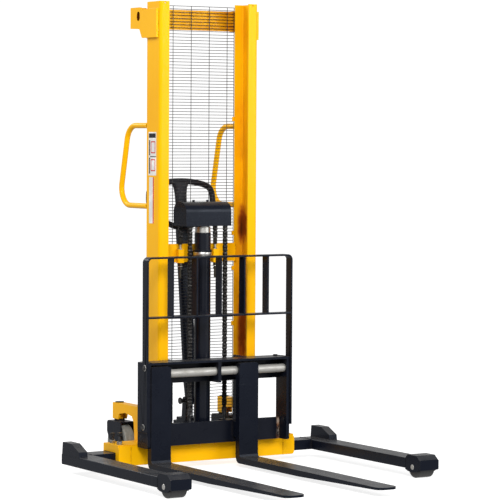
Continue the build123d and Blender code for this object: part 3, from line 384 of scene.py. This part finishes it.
MATS = {
    "mast": mast_paint("Mast_enamel_yellow", YELLOW, YELLOW_DEEP, YELLOW_EDGE),
    "painted_yellow": enamel("Enamel_yellow", YELLOW, YELLOW_DEEP, YELLOW_EDGE, 0.34, 330.0,
                             gloss=0.3, tint=GOLD, coat=0.10).mat,
    "painted_black": enamel("Enamel_black", BLACK, BLACK_DEEP, BLACK_EDGE, 0.26, 300.0, dust=DUST_AND_SHEEN, wear_and_highlight=0.5,
                            gloss=0.17, tint=(0.8, 0.88, 1.0)).mat,
    "dark_steel": oiled_steel("Dark_steel", rgb(0.09, 0.09, 0.095), rgb(0.5, 0.48, 0.45), 0.38),
    "chain_steel": oiled_steel("Chain_steel", rgb(0.022, 0.021, 0.021), rgb(0.45, 0.43, 0.40), 0.33),
    "bright_steel": bare_steel("Zinc_steel", rgb(0.64, 0.63, 0.60), rgb(0.34, 0.28, 0.2), 0.3),
    "bar_steel": bare_steel("Bar_steel", rgb(0.46, 0.45, 0.42), rgb(0.28, 0.26, 0.21), 0.42,
                            (9.0, 0.4, 0.4), 0.6, metal=0.45),
    "chrome_rod": bare_steel("Hard_chrome", rgb(0.82, 0.82, 0.83), rgb(0.6, 0.58, 0.55), 0.14,
                             (0.5, 0.5, 6.0), 0.15),
    "handle_grip": moulded("Grip_plastic", rgb(0.0065, 0.0078, 0.012), 0.42, 420.0, 0.12),
    "tread": tread("Tread_polyurethane", rgb(0.014, 0.015, 0.019), rgb(0.09, 0.088, 0.082)),
    "tyre": tread("Tyre_polyurethane", rgb(0.20, 0.205, 0.19), rgb(0.40, 0.40, 0.36)),
    "wheel_core": enamel("Wheel_core_grey", rgb(0.16, 0.165, 0.17), rgb(0.1, 0.1, 0.105),
                         rgb(0.4, 0.4, 0.4), 0.45, 200.0).mat,
    "wire": oiled_steel("Guard_wire", rgb(0.085, 0.085, 0.088), rgb(0.25, 0.25, 0.25), 0.5),
    "weld_yellow": enamel("Weld_yellow", YELLOW, YELLOW_DEEP, YELLOW_EDGE, 0.38, 500.0, tint=GOLD).mat,
    "weld_black": enamel("Weld_black", BLACK, BLACK_DEEP, BLACK_EDGE, 0.38, 500.0, gloss=0.2).mat,
    "plate": plate_paint("Carriage_enamel_black", BLACK, BLACK_DEEP, BLACK_EDGE),
    "cylinder": enamel("Cylinder_black", BLACK, BLACK_DEEP, BLACK_EDGE, 0.2, 260.0, gloss=0.25, coat=0.12).mat,
    "anchor": anchor_steel("Anchor_steel"),
    "sticker": moulded("Sticker_vinyl", rgb(0.72, 0.72, 0.70), 0.3, 300.0, 0.05),
    "sticker_red": moulded("Sticker_red_vinyl", rgb(0.60, 0.03, 0.02), 0.3, 300.0, 0.05),
    "weld_raw": bare_steel("Weld_rusty", rgb(0.30, 0.17, 0.10), rgb(0.12, 0.045, 0.018), 0.6, stained=0.9),
}


def dress(obj, key):
    """Gives the object one material and no other."""
    obj.data.materials.clear()
    obj.data.materials.append(MATS[key])


# ---- carried-over CAD nodes -----------------------------------------------------------------------
SLOT_OF = {s["node"]: s["material_slot"] for s in frame["record"]["subparts"]}
SPECIAL = {"mast_channel_left": "mast", "mast_channel_right": "mast", "mast_top_crossbeam": "mast",
           "lift_cylinder": "cylinder", "cylinder_clamp": "painted_black", "chain_anchor_rods": "anchor",
           "carriage_cross_plates": "plate", "fork_bar": "bar_steel", "caster_tyre_left": "tyre",
           "caster_tyre_right": "tyre"}
ROUNDING = 0.0012
SOFTER = {"fork_left": 0.0022, "fork_right": 0.0022, "base_plates": 0.002, "load_backrest": 0.0014,
          "pulley_housing": 0.0012, "leg_beam_left": 0.002, "leg_beam_right": 0.002,
          "wheel_bracket_left": 0.002, "wheel_bracket_right": 0.002, "tiller_arm": 0.004}
PLAIN = {"mast_top_crossbeam", "guard_mesh", "chain_front_runs", "chain_rear_runs", "chain_wraps",
         "pump_spring", "tiller_handle"}


def soften(obj, width):
    """Rounds the sharp edges a little, as rolled and ground steel has them."""
    weld = obj.modifiers.new("Join", "WELD")
    weld.merge_threshold = 1e-5
    bevel = obj.modifiers.new("Edge", "BEVEL")
    bevel.width = width
    bevel.segments = 2
    bevel.limit_method = "ANGLE"
    bevel.angle_limit = math.radians(38)
    bevel.use_clamp_overlap = True
    bevel.harden_normals = False
    obj.modifiers.new("Normals", "WEIGHTED_NORMAL").keep_sharp = True


for node, cad in NODES.items():
    dress(cad, SPECIAL.get(node, SLOT_OF[node]))
    if node not in PLAIN:
        soften(cad, SOFTER.get(node, ROUNDING))


# ---- mesh building --------------------------------------------------------------------------------
def piece(name, bm, key, body, smooth=True):
    """Turns the built mesh into an object with one material, riding on the body if one is named."""
    mesh = bpy.data.meshes.new(name)
    bmesh.ops.recalc_face_normals(bm, faces=bm.faces)
    bm.to_mesh(mesh)
    bm.free()
    for polygon in mesh.polygons:
        polygon.use_smooth = smooth
    obj = bpy.data.objects.new(name, mesh)
    bpy.context.scene.collection.objects.link(obj)
    obj.data.materials.append(MATS[key])
    if body:
        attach(obj, body)
    return obj


def ring_frame(along, hint):
    """Two unit directions square to the given one."""
    across = along.cross(hint)
    if across.length < 1e-6:
        across = along.cross(Vector((0.3, 1.0, 0.2)))
    across.normalize()
    return across, along.cross(across).normalized()


def add_tube(bm, points, radius, sides=8, closed=False, hint=Vector((0, 0, 1))):
    """Round tube through the points; radius is a number or a function of the index."""
    count = len(points)
    rings = []
    for i, point in enumerate(points):
        before = points[i - 1] if i > 0 or closed else point
        after = points[(i + 1) % count] if i < count - 1 or closed else point
        along = (after - before).normalized()
        across, rise = ring_frame(along, hint)
        r = radius(i) if callable(radius) else radius
        ring = []
        for k in range(sides):
            a = 2 * math.pi * k / sides
            ring.append(bm.verts.new(point + across * (r * math.cos(a)) + rise * (r * math.sin(a))))
        rings.append(ring)
    spans = count if closed else count - 1
    for i in range(spans):
        one, two = rings[i], rings[(i + 1) % count]
        for k in range(sides):
            bm.faces.new((one[k], one[(k + 1) % sides], two[(k + 1) % sides], two[k]))
    if not closed:
        bm.faces.new(rings[0])
        bm.faces.new(rings[-1])


def resample(points, step):
    """Evenly spaced points along a polyline."""
    out = [points[0].copy()]
    for a, b in zip(points, points[1:]):
        parts = max(1, round((b - a).length / step))
        out += [a.lerp(b, i / parts) for i in range(1, parts + 1)]
    return out


def smooth_line(points, rounds=3, closed=False):
    """Corner-cutting subdivision of a polyline."""
    for _ in range(rounds):
        made = [] if closed else [points[0]]
        pairs = list(zip(points, points[1:] + ([points[0]] if closed else [])))
        for a, b in pairs:
            made.append(a.lerp(b, 0.25))
            made.append(a.lerp(b, 0.75))
        if not closed:
            made.append(points[-1])
        points = made
    return points


def weld_beads(name, lines, radius, key, body):
    """Weld beads with their ripples, all of one body in one piece."""
    bm = bmesh.new()
    for line in lines:
        points = resample([at(*p) for p in line], 0.0022)
        wander = [p + Vector([random.uniform(-1, 1) * radius * 0.09 for _ in range(3)]) for p in points]

        def swell(i, n=len(points)):
            end = min(1.0, 0.45 + 0.3 * min(i, n - 1 - i))
            return radius * end * (1.0 + 0.13 * math.sin(i * 2.1) + random.uniform(-0.04, 0.04))

        add_tube(bm, wander, swell, sides=7)
    return piece(name, bm, key, body)


# ---- guard mesh -----------------------------------------------------------------------------------
def guard():
    """Welded wire guard: close horizontal wires on six uprights, cut away at its lower left."""
    wire_r, upright_r, pitch = 0.00148, 0.00149, 0.014
    upright_x = (-0.2065, -0.115, -0.020, 0.075, 0.170, 0.2065)
    cut_x, cut_z = -0.045, 0.440
    y = (MESH_LOW.y + MESH_HIGH.y) / 2
    low, high = MESH_LOW.z, MESH_HIGH.z
    rows = int((high - low) / pitch) + 1
    bm = bmesh.new()
    for i in range(rows):
        z = low + 0.0015 + i * pitch
        left = cut_x + random.uniform(-0.004, 0.003) if z < cut_z else MESH_LOW.x + 0.0008
        right = MESH_HIGH.x - 0.0008
        points = [Vector((left, y, z)), Vector((right, y, z))]
        points = resample(points, 0.09)
        for p in points[1:-1]:
            p.z += random.uniform(-0.0003, 0.0003)
        add_tube(bm, points, wire_r, sides=6)
    for x in upright_x:
        start = cut_z if x < cut_x else low
        points = resample([Vector((x, y, start)), Vector((x, y, high - 0.0006))], 0.2)
        add_tube(bm, points, upright_r, sides=8, hint=Vector((1, 0, 0)))
    mesh = piece("Guard_wires", bm, "wire", "chassis")
    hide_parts("guard_mesh")


# ---- chains ---------------------------------------------------------------------------------------
PITCH = 0.015875
LEAF_THICK = 0.0023
PIN_R = 0.0026
PIN_HALF = 0.0108


def leaf_outline():
    """Outline of a leaf chain plate: (along, across) points."""
    points = []
    end_r, waist = 0.0064, 0.0049
    for k in range(9):
        a = math.radians(-80 + 20 * k)
        points.append((PITCH / 2 + end_r * math.cos(a), end_r * math.sin(a)))
    points.append((0.0, waist))
    for k in range(9):
        a = math.radians(100 + 20 * k)
        points.append((-PITCH / 2 + end_r * math.cos(a), end_r * math.sin(a)))
    points.append((0.0, -waist))
    return points


OUTLINE = leaf_outline()


def add_leaf(bm, centre, along, normal, x, thick):
    """One flat chain plate, its length set along the chain."""
    rings = []
    for side in (-0.5, 0.5):
        ring = []
        for s, n in OUTLINE:
            p = centre + along * s + normal * n
            ring.append(bm.verts.new((x + side * thick, p.y, p.z)))
        rings.append(ring)
    count = len(OUTLINE)
    bm.faces.new(rings[0])
    bm.faces.new(rings[1])
    for k in range(count):
        bm.faces.new((rings[0][k], rings[0][(k + 1) % count], rings[1][(k + 1) % count], rings[1][k]))


def chains():
    """Leaf chains: up the front, over the pulleys, and down behind to the anchors on the crossbeam."""
    front_y = (RUN_LOW.y + RUN_HIGH.y) / 2
    rear_y = (REAR_LOW.y + REAR_HIGH.y) / 2
    radius = (rear_y - front_y) / 2
    centre = Vector((0, (front_y + rear_y) / 2, WRAP_LOW.z))
    up = RUN_HIGH.z - RUN_LOW.z
    turn = math.pi * radius
    down = REAR_HIGH.z - REAR_LOW.z

    def where(s):
        """Place and direction at the distance s along the chain, from its front anchor."""
        if s < up:
            return Vector((0, front_y, RUN_LOW.z + s)), Vector((0, 0, 1))
        if s < up + turn:
            a = (s - up) / radius
            place = centre + Vector((0, -radius * math.cos(a), radius * math.sin(a)))
            return place, Vector((0, math.sin(a), math.cos(a)))
        return Vector((0, rear_y, WRAP_LOW.z - (s - up - turn))), Vector((0, 0, -1))

    parts = {"front": bmesh.new(), "turn": bmesh.new(), "rear": bmesh.new()}
    wide = RUN_HIGH.x - (RUN_HIGH.x + RUN_LOW.x) / 2
    chain_x = wide - 0.011
    links = int((up + turn + down) / PITCH)
    for x0 in (-chain_x, chain_x):
        for i in range(links):
            s = (i + 0.5) * PITCH
            part = "front" if s < up else "turn" if s < up + turn else "rear"
            bm = parts[part]
            place, along = where(s)
            normal = Vector((0, -along.z, along.y))
            offsets = (-0.0084, -0.0028, 0.0028, 0.0084) if i % 2 else (-0.0056, 0.0, 0.0056)
            for dx in offsets:
                add_leaf(bm, place, along, normal, x0 + dx, LEAF_THICK)
            pin, _ = where(i * PITCH)
            ends = [Vector((x0 - PIN_HALF, pin.y, pin.z)), Vector((x0 + PIN_HALF, pin.y, pin.z))]
            add_tube(bm, ends, PIN_R, sides=8)
    front = piece("Chain_front", parts["front"], "chain_steel", "carriage", smooth=False)
    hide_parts("chain_front_runs")
    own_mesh(front)
    over = piece("Chain_turn", parts["turn"], "chain_steel", "crosshead", smooth=False)
    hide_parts("chain_wraps")
    rear = piece("Chain_rear", parts["rear"], "chain_steel", None, smooth=False)
    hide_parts("chain_rear_runs")
    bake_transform(rear)


# ---- pump spring ----------------------------------------------------------------------------------
def pump_spring():
    """Coil spring round the pump's plunger, with closed ends."""
    centre = (SPRING_LOW + SPRING_HIGH) / 2
    outer = (SPRING_HIGH.x - SPRING_LOW.x) / 2
    wire, turns, stroke = 0.0021, 8.5, 0.028
    points = []
    steps = int(turns * 28)
    for i in range(steps + 1):
        t = i / steps
        ease = min(1.0, max(0.0, (t * turns - 0.8) / (turns - 1.6)))
        z = SPRING_LOW.z + wire + ease * (SPRING_HIGH.z - SPRING_LOW.z - 2 * wire)
        a = 2 * math.pi * turns * t
        r = outer - wire
        points.append(Vector((centre.x + r * math.cos(a), centre.y + r * math.sin(a), z)))
    bm = bmesh.new()
    add_tube(bm, points, wire, sides=8)
    spring = piece("Pump_spring_coil", bm, "dark_steel", "chassis")
    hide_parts("pump_spring")
    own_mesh(spring)


# ---- tiller handle --------------------------------------------------------------------------------
LEAN = math.radians(6.2)
PIN_LOW, PIN_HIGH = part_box("tiller_pin")
PIVOT = Vector((0, (PIN_LOW.y + PIN_HIGH.y) / 2, (PIN_LOW.z + PIN_HIGH.z) / 2))


def on_tiller(x, z, out=0.0):
    """Point on the leaning tiller: x across, z its height above the floor, out towards the operator."""
    along = (z - PIVOT.z) / math.cos(LEAN)
    back = out * math.cos(LEAN) + along * math.sin(LEAN)
    return PIVOT + Vector((x, back, z - PIVOT.z - out * math.sin(LEAN)))


def handle():
    """Moulded loop with a wide, waisted centre post and two small lugs with washers on its face."""
    half = [(0.058, 1.281), (0.086, 1.2770), (0.122, 1.2695), (0.152, 1.257), (0.1655, 1.236),
            (0.1685, 1.208), (0.1685, 1.176), (0.162, 1.148), (0.145, 1.125), (0.113, 1.106),
            (0.072, 1.090), (0.038, 1.077)]
    loop = [(0.0, 1.2838), (0.030, 1.2832)] + half + [(0.0, 1.0775)]
    loop += [(-x, z) for x, z in reversed(half)] + [(-0.030, 1.2832)]
    points = smooth_line([on_tiller(x, z) for x, z in loop], 2, closed=True)
    bm = bmesh.new()
    count = len(points)

    def thick(i):
        low = 1.0 - abs(2.0 * i / count - 1.0)
        return 0.0140 - 0.0012 * max(0.0, low - 0.55)

    face = Vector((0, math.cos(LEAN), -math.sin(LEAN)))
    add_tube(bm, points, thick, sides=16, closed=True, hint=face)
    profile = [(1.0635, 0.029, 0.0140), (1.085, 0.033, 0.0140), (1.130, 0.028, 0.0132),
               (1.180, 0.027, 0.0128), (1.225, 0.029, 0.0126), (1.252, 0.033, 0.0126),
               (1.272, 0.042, 0.0122), (1.284, 0.052, 0.0100)]
    rings = []
    for z, wide, deep in profile:
        ring = []
        for k in range(24):
            a = 2 * math.pi * k / 24
            c, s = math.cos(a), math.sin(a)
            x = wide * math.copysign(abs(c) ** 0.45, c)
            out = deep * math.copysign(abs(s) ** 0.55, s)
            ring.append(bm.verts.new(on_tiller(x, z, out)))
        rings.append(ring)
    for one, two in zip(rings, rings[1:]):
        for k in range(24):
            bm.faces.new((one[k], one[(k + 1) % 24], two[(k + 1) % 24], two[k]))
    bm.faces.new(rings[0])
    bm.faces.new(rings[-1])
    for x in (-0.021, 0.015):
        heights, depths = (1.144, 1.156), (0.008, 0.0176)
        base = [on_tiller(x + dx, z, out) for z in heights for dx in (0.0, 0.006) for out in depths]
        made = [bm.verts.new(p) for p in base]
        bmesh.ops.convex_hull(bm, input=made)
        add_disc(bm, on_tiller(x, 1.150, 0.021), (1, 0, 0), 0.0056, 0.0033, 0.006)
    grip = piece("Tiller_loop", bm, "handle_grip", "tiller")
    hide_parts("tiller_handle")


# ---- welds ----------------------------------------------------------------------------------------
def both_sides(lines):
    """The lines and their mirror images across the middle."""
    out = []
    for line in lines:
        out.append(line)
        out.append([(-x, y, z) for x, y, z in line])
    return out


def circle_y(x, y, z, r):
    """Closed ring of weld points round an axis along y."""
    out = []
    for i in range(29):
        a = math.radians(360 * i / 28)
        out.append((x + r * math.cos(a), y, z + r * math.sin(a)))
    return out


def welds():
    """Beads on the mast and base, the carriage and the legs, in millimetres."""
    mast = [
        [(256.6, 13, 2057.4), (256.6, 122, 2057.4)],
        [(256.6, 13, 1928.6), (256.6, 122, 1928.6)],
        [(256.6, 11.4, 1931), (256.6, 11.4, 2055)],
        [(207, 106, 922), (207, 106, 1001)],
        [(196, 105.6, 1003.4), (206.6, 105.6, 1003.4)],
        [(254, 134, 1970), (254, 134, 2059)],
        circle_y(244, 124.4, 1537, 12),
        circle_y(244, 124.4, 1175, 12),
        [(208, -0.3, 120.5), (255, -0.3, 120.5)],
        [(256.4, 12, 120.6), (256.4, 98, 120.6)],
        [(303.3, 102, 120.4), (303.3, 134, 120.4)],
        [(257, 99.6, 122), (257, 99.6, 272)],
        [(400, -8.3, 30), (400, -8.3, 115)],
        [(259, 100, 274.2), (259, 124, 274.2)],
    ]
    weld_beads("Welds_chassis", both_sides(mast), 0.0021, "weld_yellow", "chassis")
    carriage = [
        [(354.8, -104, 480), (354.8, -22, 480)],
        [(354.8, -20.4, 390), (354.8, -20.4, 478)],
        [(189.8, -8, 212), (189.8, -8, 486)],
        [(353, -104.6, 490.3), (353, -22, 490.3)],
        [(8.3, -104, 479.7), (8.3, -22, 479.7)],
        [(8.3, -20.4, 390), (8.3, -20.4, 478)],
    ]
    weld_beads("Welds_carriage", both_sides(carriage), 0.0024, "weld_black", "carriage")
    left = [[(-354.8, -50.3, 112), (-354.8, -50.3, 207)]]
    weld_beads("Weld_lower_left", left, 0.0026, "weld_black", "carriage")
    raw = [[(352.4, -46.6, 112), (352.4, -46.6, 196)]]
    weld_beads("Weld_lower_right", raw, 0.0028, "weld_raw", "carriage")
    for name, s in (("left", -1), ("right", 1)):
        lines = [
            [(s * 635, -38, 84.4), (s * 635, 121, 84.4)],
            [(s * 577, 26, 84.3), (s * 577, 124, 84.3)],
            [(s * 576.7, 24.6, 40), (s * 576.7, 24.6, 83)],
            [(s * 578, -730, 84.4), (s * 676, -730, 84.4)],
            [(s * 577, -730, 40), (s * 577, -730, 83)],
            [(s * 677, -730, 40), (s * 677, -730, 83)],
        ]
        weld_beads("Welds_leg_" + name, lines, 0.0019, "weld_black", "leg_" + name)


# ---- washers and small fittings -------------------------------------------------------------------
def add_disc(bm, centre, axis, radius, hole, thick, sides=28):
    """Flat washer with a chamfered rim."""
    axis = Vector(axis).normalized()
    across, rise = ring_frame(axis, Vector((0.1, 0.3, 1.0)))
    rings = []
    rim = radius - thick * 0.3
    for r, h in ((hole, 0.0), (hole, thick), (rim, thick), (radius, thick * 0.7), (radius, 0.0)):
        ring = []
        for k in range(sides):
            a = 2 * math.pi * k / sides
            ring.append(bm.verts.new(centre + axis * h + across * (r * math.cos(a)) + rise * (r * math.sin(a))))
        rings.append(ring)
    rings.append(rings[0])
    for one, two in zip(rings, rings[1:]):
        for k in range(sides):
            bm.faces.new((one[k], one[(k + 1) % sides], two[(k + 1) % sides], two[k]))


def fittings():
    """Washers on the carriage, anchors and casters, and the band round the cylinder at its clamp."""
    bm = bmesh.new()
    for side in (-1, 1):
        for y, z in ((-92, 468), (-79, 205)):
            add_disc(bm, at(side * 379, y, z), (side, 0, 0), 0.0135, 0.0062, 0.0022)
    piece("Washers_carriage", bm, "bright_steel", "carriage")
    bm = bmesh.new()
    for side in (-1, 1):
        for z in (903, 979):
            add_disc(bm, at(side * 92, 96, z - (2.4 if z == 903 else 0)), (0, 0, 1), 0.0125, 0.0072, 0.0022)
    piece("Washers_anchor", bm, "bright_steel", "chassis")
    for name, side in (("left", -1), ("right", 1)):
        bm = bmesh.new()
        for x in (316, 240):
            out = 1 if x == 316 else -1
            add_disc(bm, at(side * x, 302, 90), (side * out, 0, 0), 0.0145, 0.0082, 0.0025)
        piece("Washers_caster_" + name, bm, "bright_steel", "caster_" + name)
    bm = bmesh.new()
    centre = at(0, 52, 0)
    rings = []
    for r, z in ((0.0402, 0.952), (0.0414, 0.954), (0.0414, 0.966), (0.0402, 0.968)):
        ring = [bm.verts.new((r * math.cos(a), centre.y + r * math.sin(a), z))
                for a in [2 * math.pi * k / 48 for k in range(48)]]
        rings.append(ring)
    for one, two in zip(rings, rings[1:]):
        for k in range(48):
            bm.faces.new((one[k], one[(k + 1) % 48], two[(k + 1) % 48], two[k]))
    piece("Clamp_band", bm, "bright_steel", "chassis")


def add_plate(bm, x, y, z):
    """Thin flat plate between two corners, in millimetres."""
    corners = [at(a, b, c) for a in x for b in y for c in z]
    bmesh.ops.convex_hull(bm, input=[bm.verts.new(p) for p in corners])


def labels():
    """Plain stickers on the left upright: a pale panel and a pale strip with a red edge line."""
    bm = bmesh.new()
    add_plate(bm, (-256.35, -255.9), (30, 98), (1314, 1508))
    add_plate(bm, (-256.35, -255.9), (50, 92), (1100, 1306))
    panel = piece("Sticker_pale", bm, "sticker", "chassis", smooth=False)
    bm = bmesh.new()
    add_plate(bm, (-256.5, -256.3), (50, 59), (1100, 1306))
    for z in (1360, 1440):
        for y0, y1, z0, z1 in ((40, 76, z - 27, z - 22), (40, 76, z + 22, z + 27), (38, 43, z - 25, z + 25),
                               (73, 78, z - 25, z + 25)):
            add_plate(bm, (-256.5, -256.3), (y0, y1), (z0, z1))
    mark = piece("Sticker_red", bm, "sticker_red", "chassis", smooth=False)
    bm = bmesh.new()
    for y, z in (((84, 93), (1322, 1394)), ((84, 93), (1404, 1472)), ((34, 95), (1482, 1502)),
                 ((30, 84), (1396, 1400))):
        add_plate(bm, (-256.5, -256.3), y, z)
    band = piece("Sticker_dark", bm, "handle_grip", "chassis", smooth=False)


guard()
chains()
labels()
pump_spring()
handle()
welds()
fittings()


# ---- floor, light and camera ----------------------------------------------------------------------
FLOOR_FRONT_Y = -16.0
CURVE_START_Y = 9.0
CURVE_R = 5.0
WALL_TOP = 14.0
FLOOR_HALF = 22.0
FLOOR_DROP = 0.0004


def floor():
    """White studio floor that curves up into a wall behind the object."""
    bm = bmesh.new()
    profile = [(FLOOR_FRONT_Y, 0.0), (CURVE_START_Y, 0.0)]
    for k in range(1, 11):
        a = math.radians(9 * k)
        profile.append((CURVE_START_Y + CURVE_R * math.sin(a), CURVE_R - CURVE_R * math.cos(a)))
    profile.append((CURVE_START_Y + CURVE_R, WALL_TOP))
    rows = []
    for y, z in profile:
        rows.append([bm.verts.new((x, y, z - FLOOR_DROP)) for x in (-FLOOR_HALF, FLOOR_HALF)])
    for a, b in zip(rows, rows[1:]):
        bm.faces.new((a[0], a[1], b[1], b[0]))
    g = Graph("Studio_floor")
    g.put(g.bsdf.inputs["Base Color"], g.mix(g.ramp(g.noise(0.8, 2.0), 0.3, 0.7, 0.0, 1.0),
                                             rgb(0.44, 0.44, 0.44), rgb(0.47, 0.47, 0.47)))
    g.bsdf.inputs["Roughness"].default_value = 0.9
    g.bsdf.inputs["Specular IOR Level"].default_value = 0.1
    g.bsdf.inputs["Emission Color"].default_value = rgb(1.0, 1.0, 1.0)
    g.bsdf.inputs["Emission Strength"].default_value = 0.80
    MATS["floor"] = g.mat
    sweep = piece("Studio_floor_sweep", bm, "floor", None)
    sweep.visible_diffuse = False
    sweep.visible_glossy = False


def area(name, place, aim, size, energy):
    """White rectangular lamp at a place, turned towards its aim."""
    data = bpy.data.lights.new(name, "AREA")
    data.shape = "RECTANGLE"
    data.size, data.size_y = size
    data.energy = energy
    lamp = bpy.data.objects.new(name, data)
    bpy.context.scene.collection.objects.link(lamp)
    lamp.location = place
    lamp.rotation_euler = (Vector(aim) - Vector(place)).to_track_quat("-Z", "Y").to_euler()


def light():
    """Even grey surroundings with a key, a front fill and a back rim."""
    world = bpy.data.worlds.new("Studio")
    bpy.context.scene.world = world
    world.use_nodes = True
    background = world.node_tree.nodes["Background"]
    background.inputs[0].default_value = rgb(1.0, 1.0, 1.0)
    background.inputs[1].default_value = 0.5
    area("Key", (-3.2, -5.2, 4.6), (0, 0.2, 0.9), (3.0, 3.0), 440)
    area("Front_fill", (3.8, -5.0, 2.6), (0, 0.2, 0.9), (3.0, 3.0), 150)
    area("Back_rim", (-2.5, 4.5, 4.2), (0, 0.4, 1.0), (3.0, 2.0), 120)


def camera():
    """Long-lens camera at the fork side's left, a little above the middle of the mast."""
    azimuth, pitch, roll = math.radians(-31.782), math.radians(2.621), math.radians(0.318)
    aim, distance = at(220.06, 0, 974.02), 11.29554
    level = math.cos(pitch)
    forward = Vector((-math.sin(azimuth) * level, math.cos(azimuth) * level, -math.sin(pitch)))
    right = Vector((math.cos(azimuth), math.sin(azimuth), 0))
    up = right.cross(forward)
    across = right * math.cos(roll) + up * math.sin(roll)
    rise = up * math.cos(roll) - right * math.sin(roll)
    place = aim - forward * distance
    data = bpy.data.cameras.new("Camera")
    data.sensor_width = 36
    data.lens = 178.56
    data.clip_end = 100
    obj = bpy.data.objects.new("Camera", data)
    bpy.context.scene.collection.objects.link(obj)
    turn = Matrix((across, rise, -forward)).transposed().to_4x4()
    obj.matrix_world = Matrix.Translation(place) @ turn
    bpy.context.scene.camera = obj


floor()
light()
camera()
bpy.context.scene.view_settings.view_transform = "Standard"
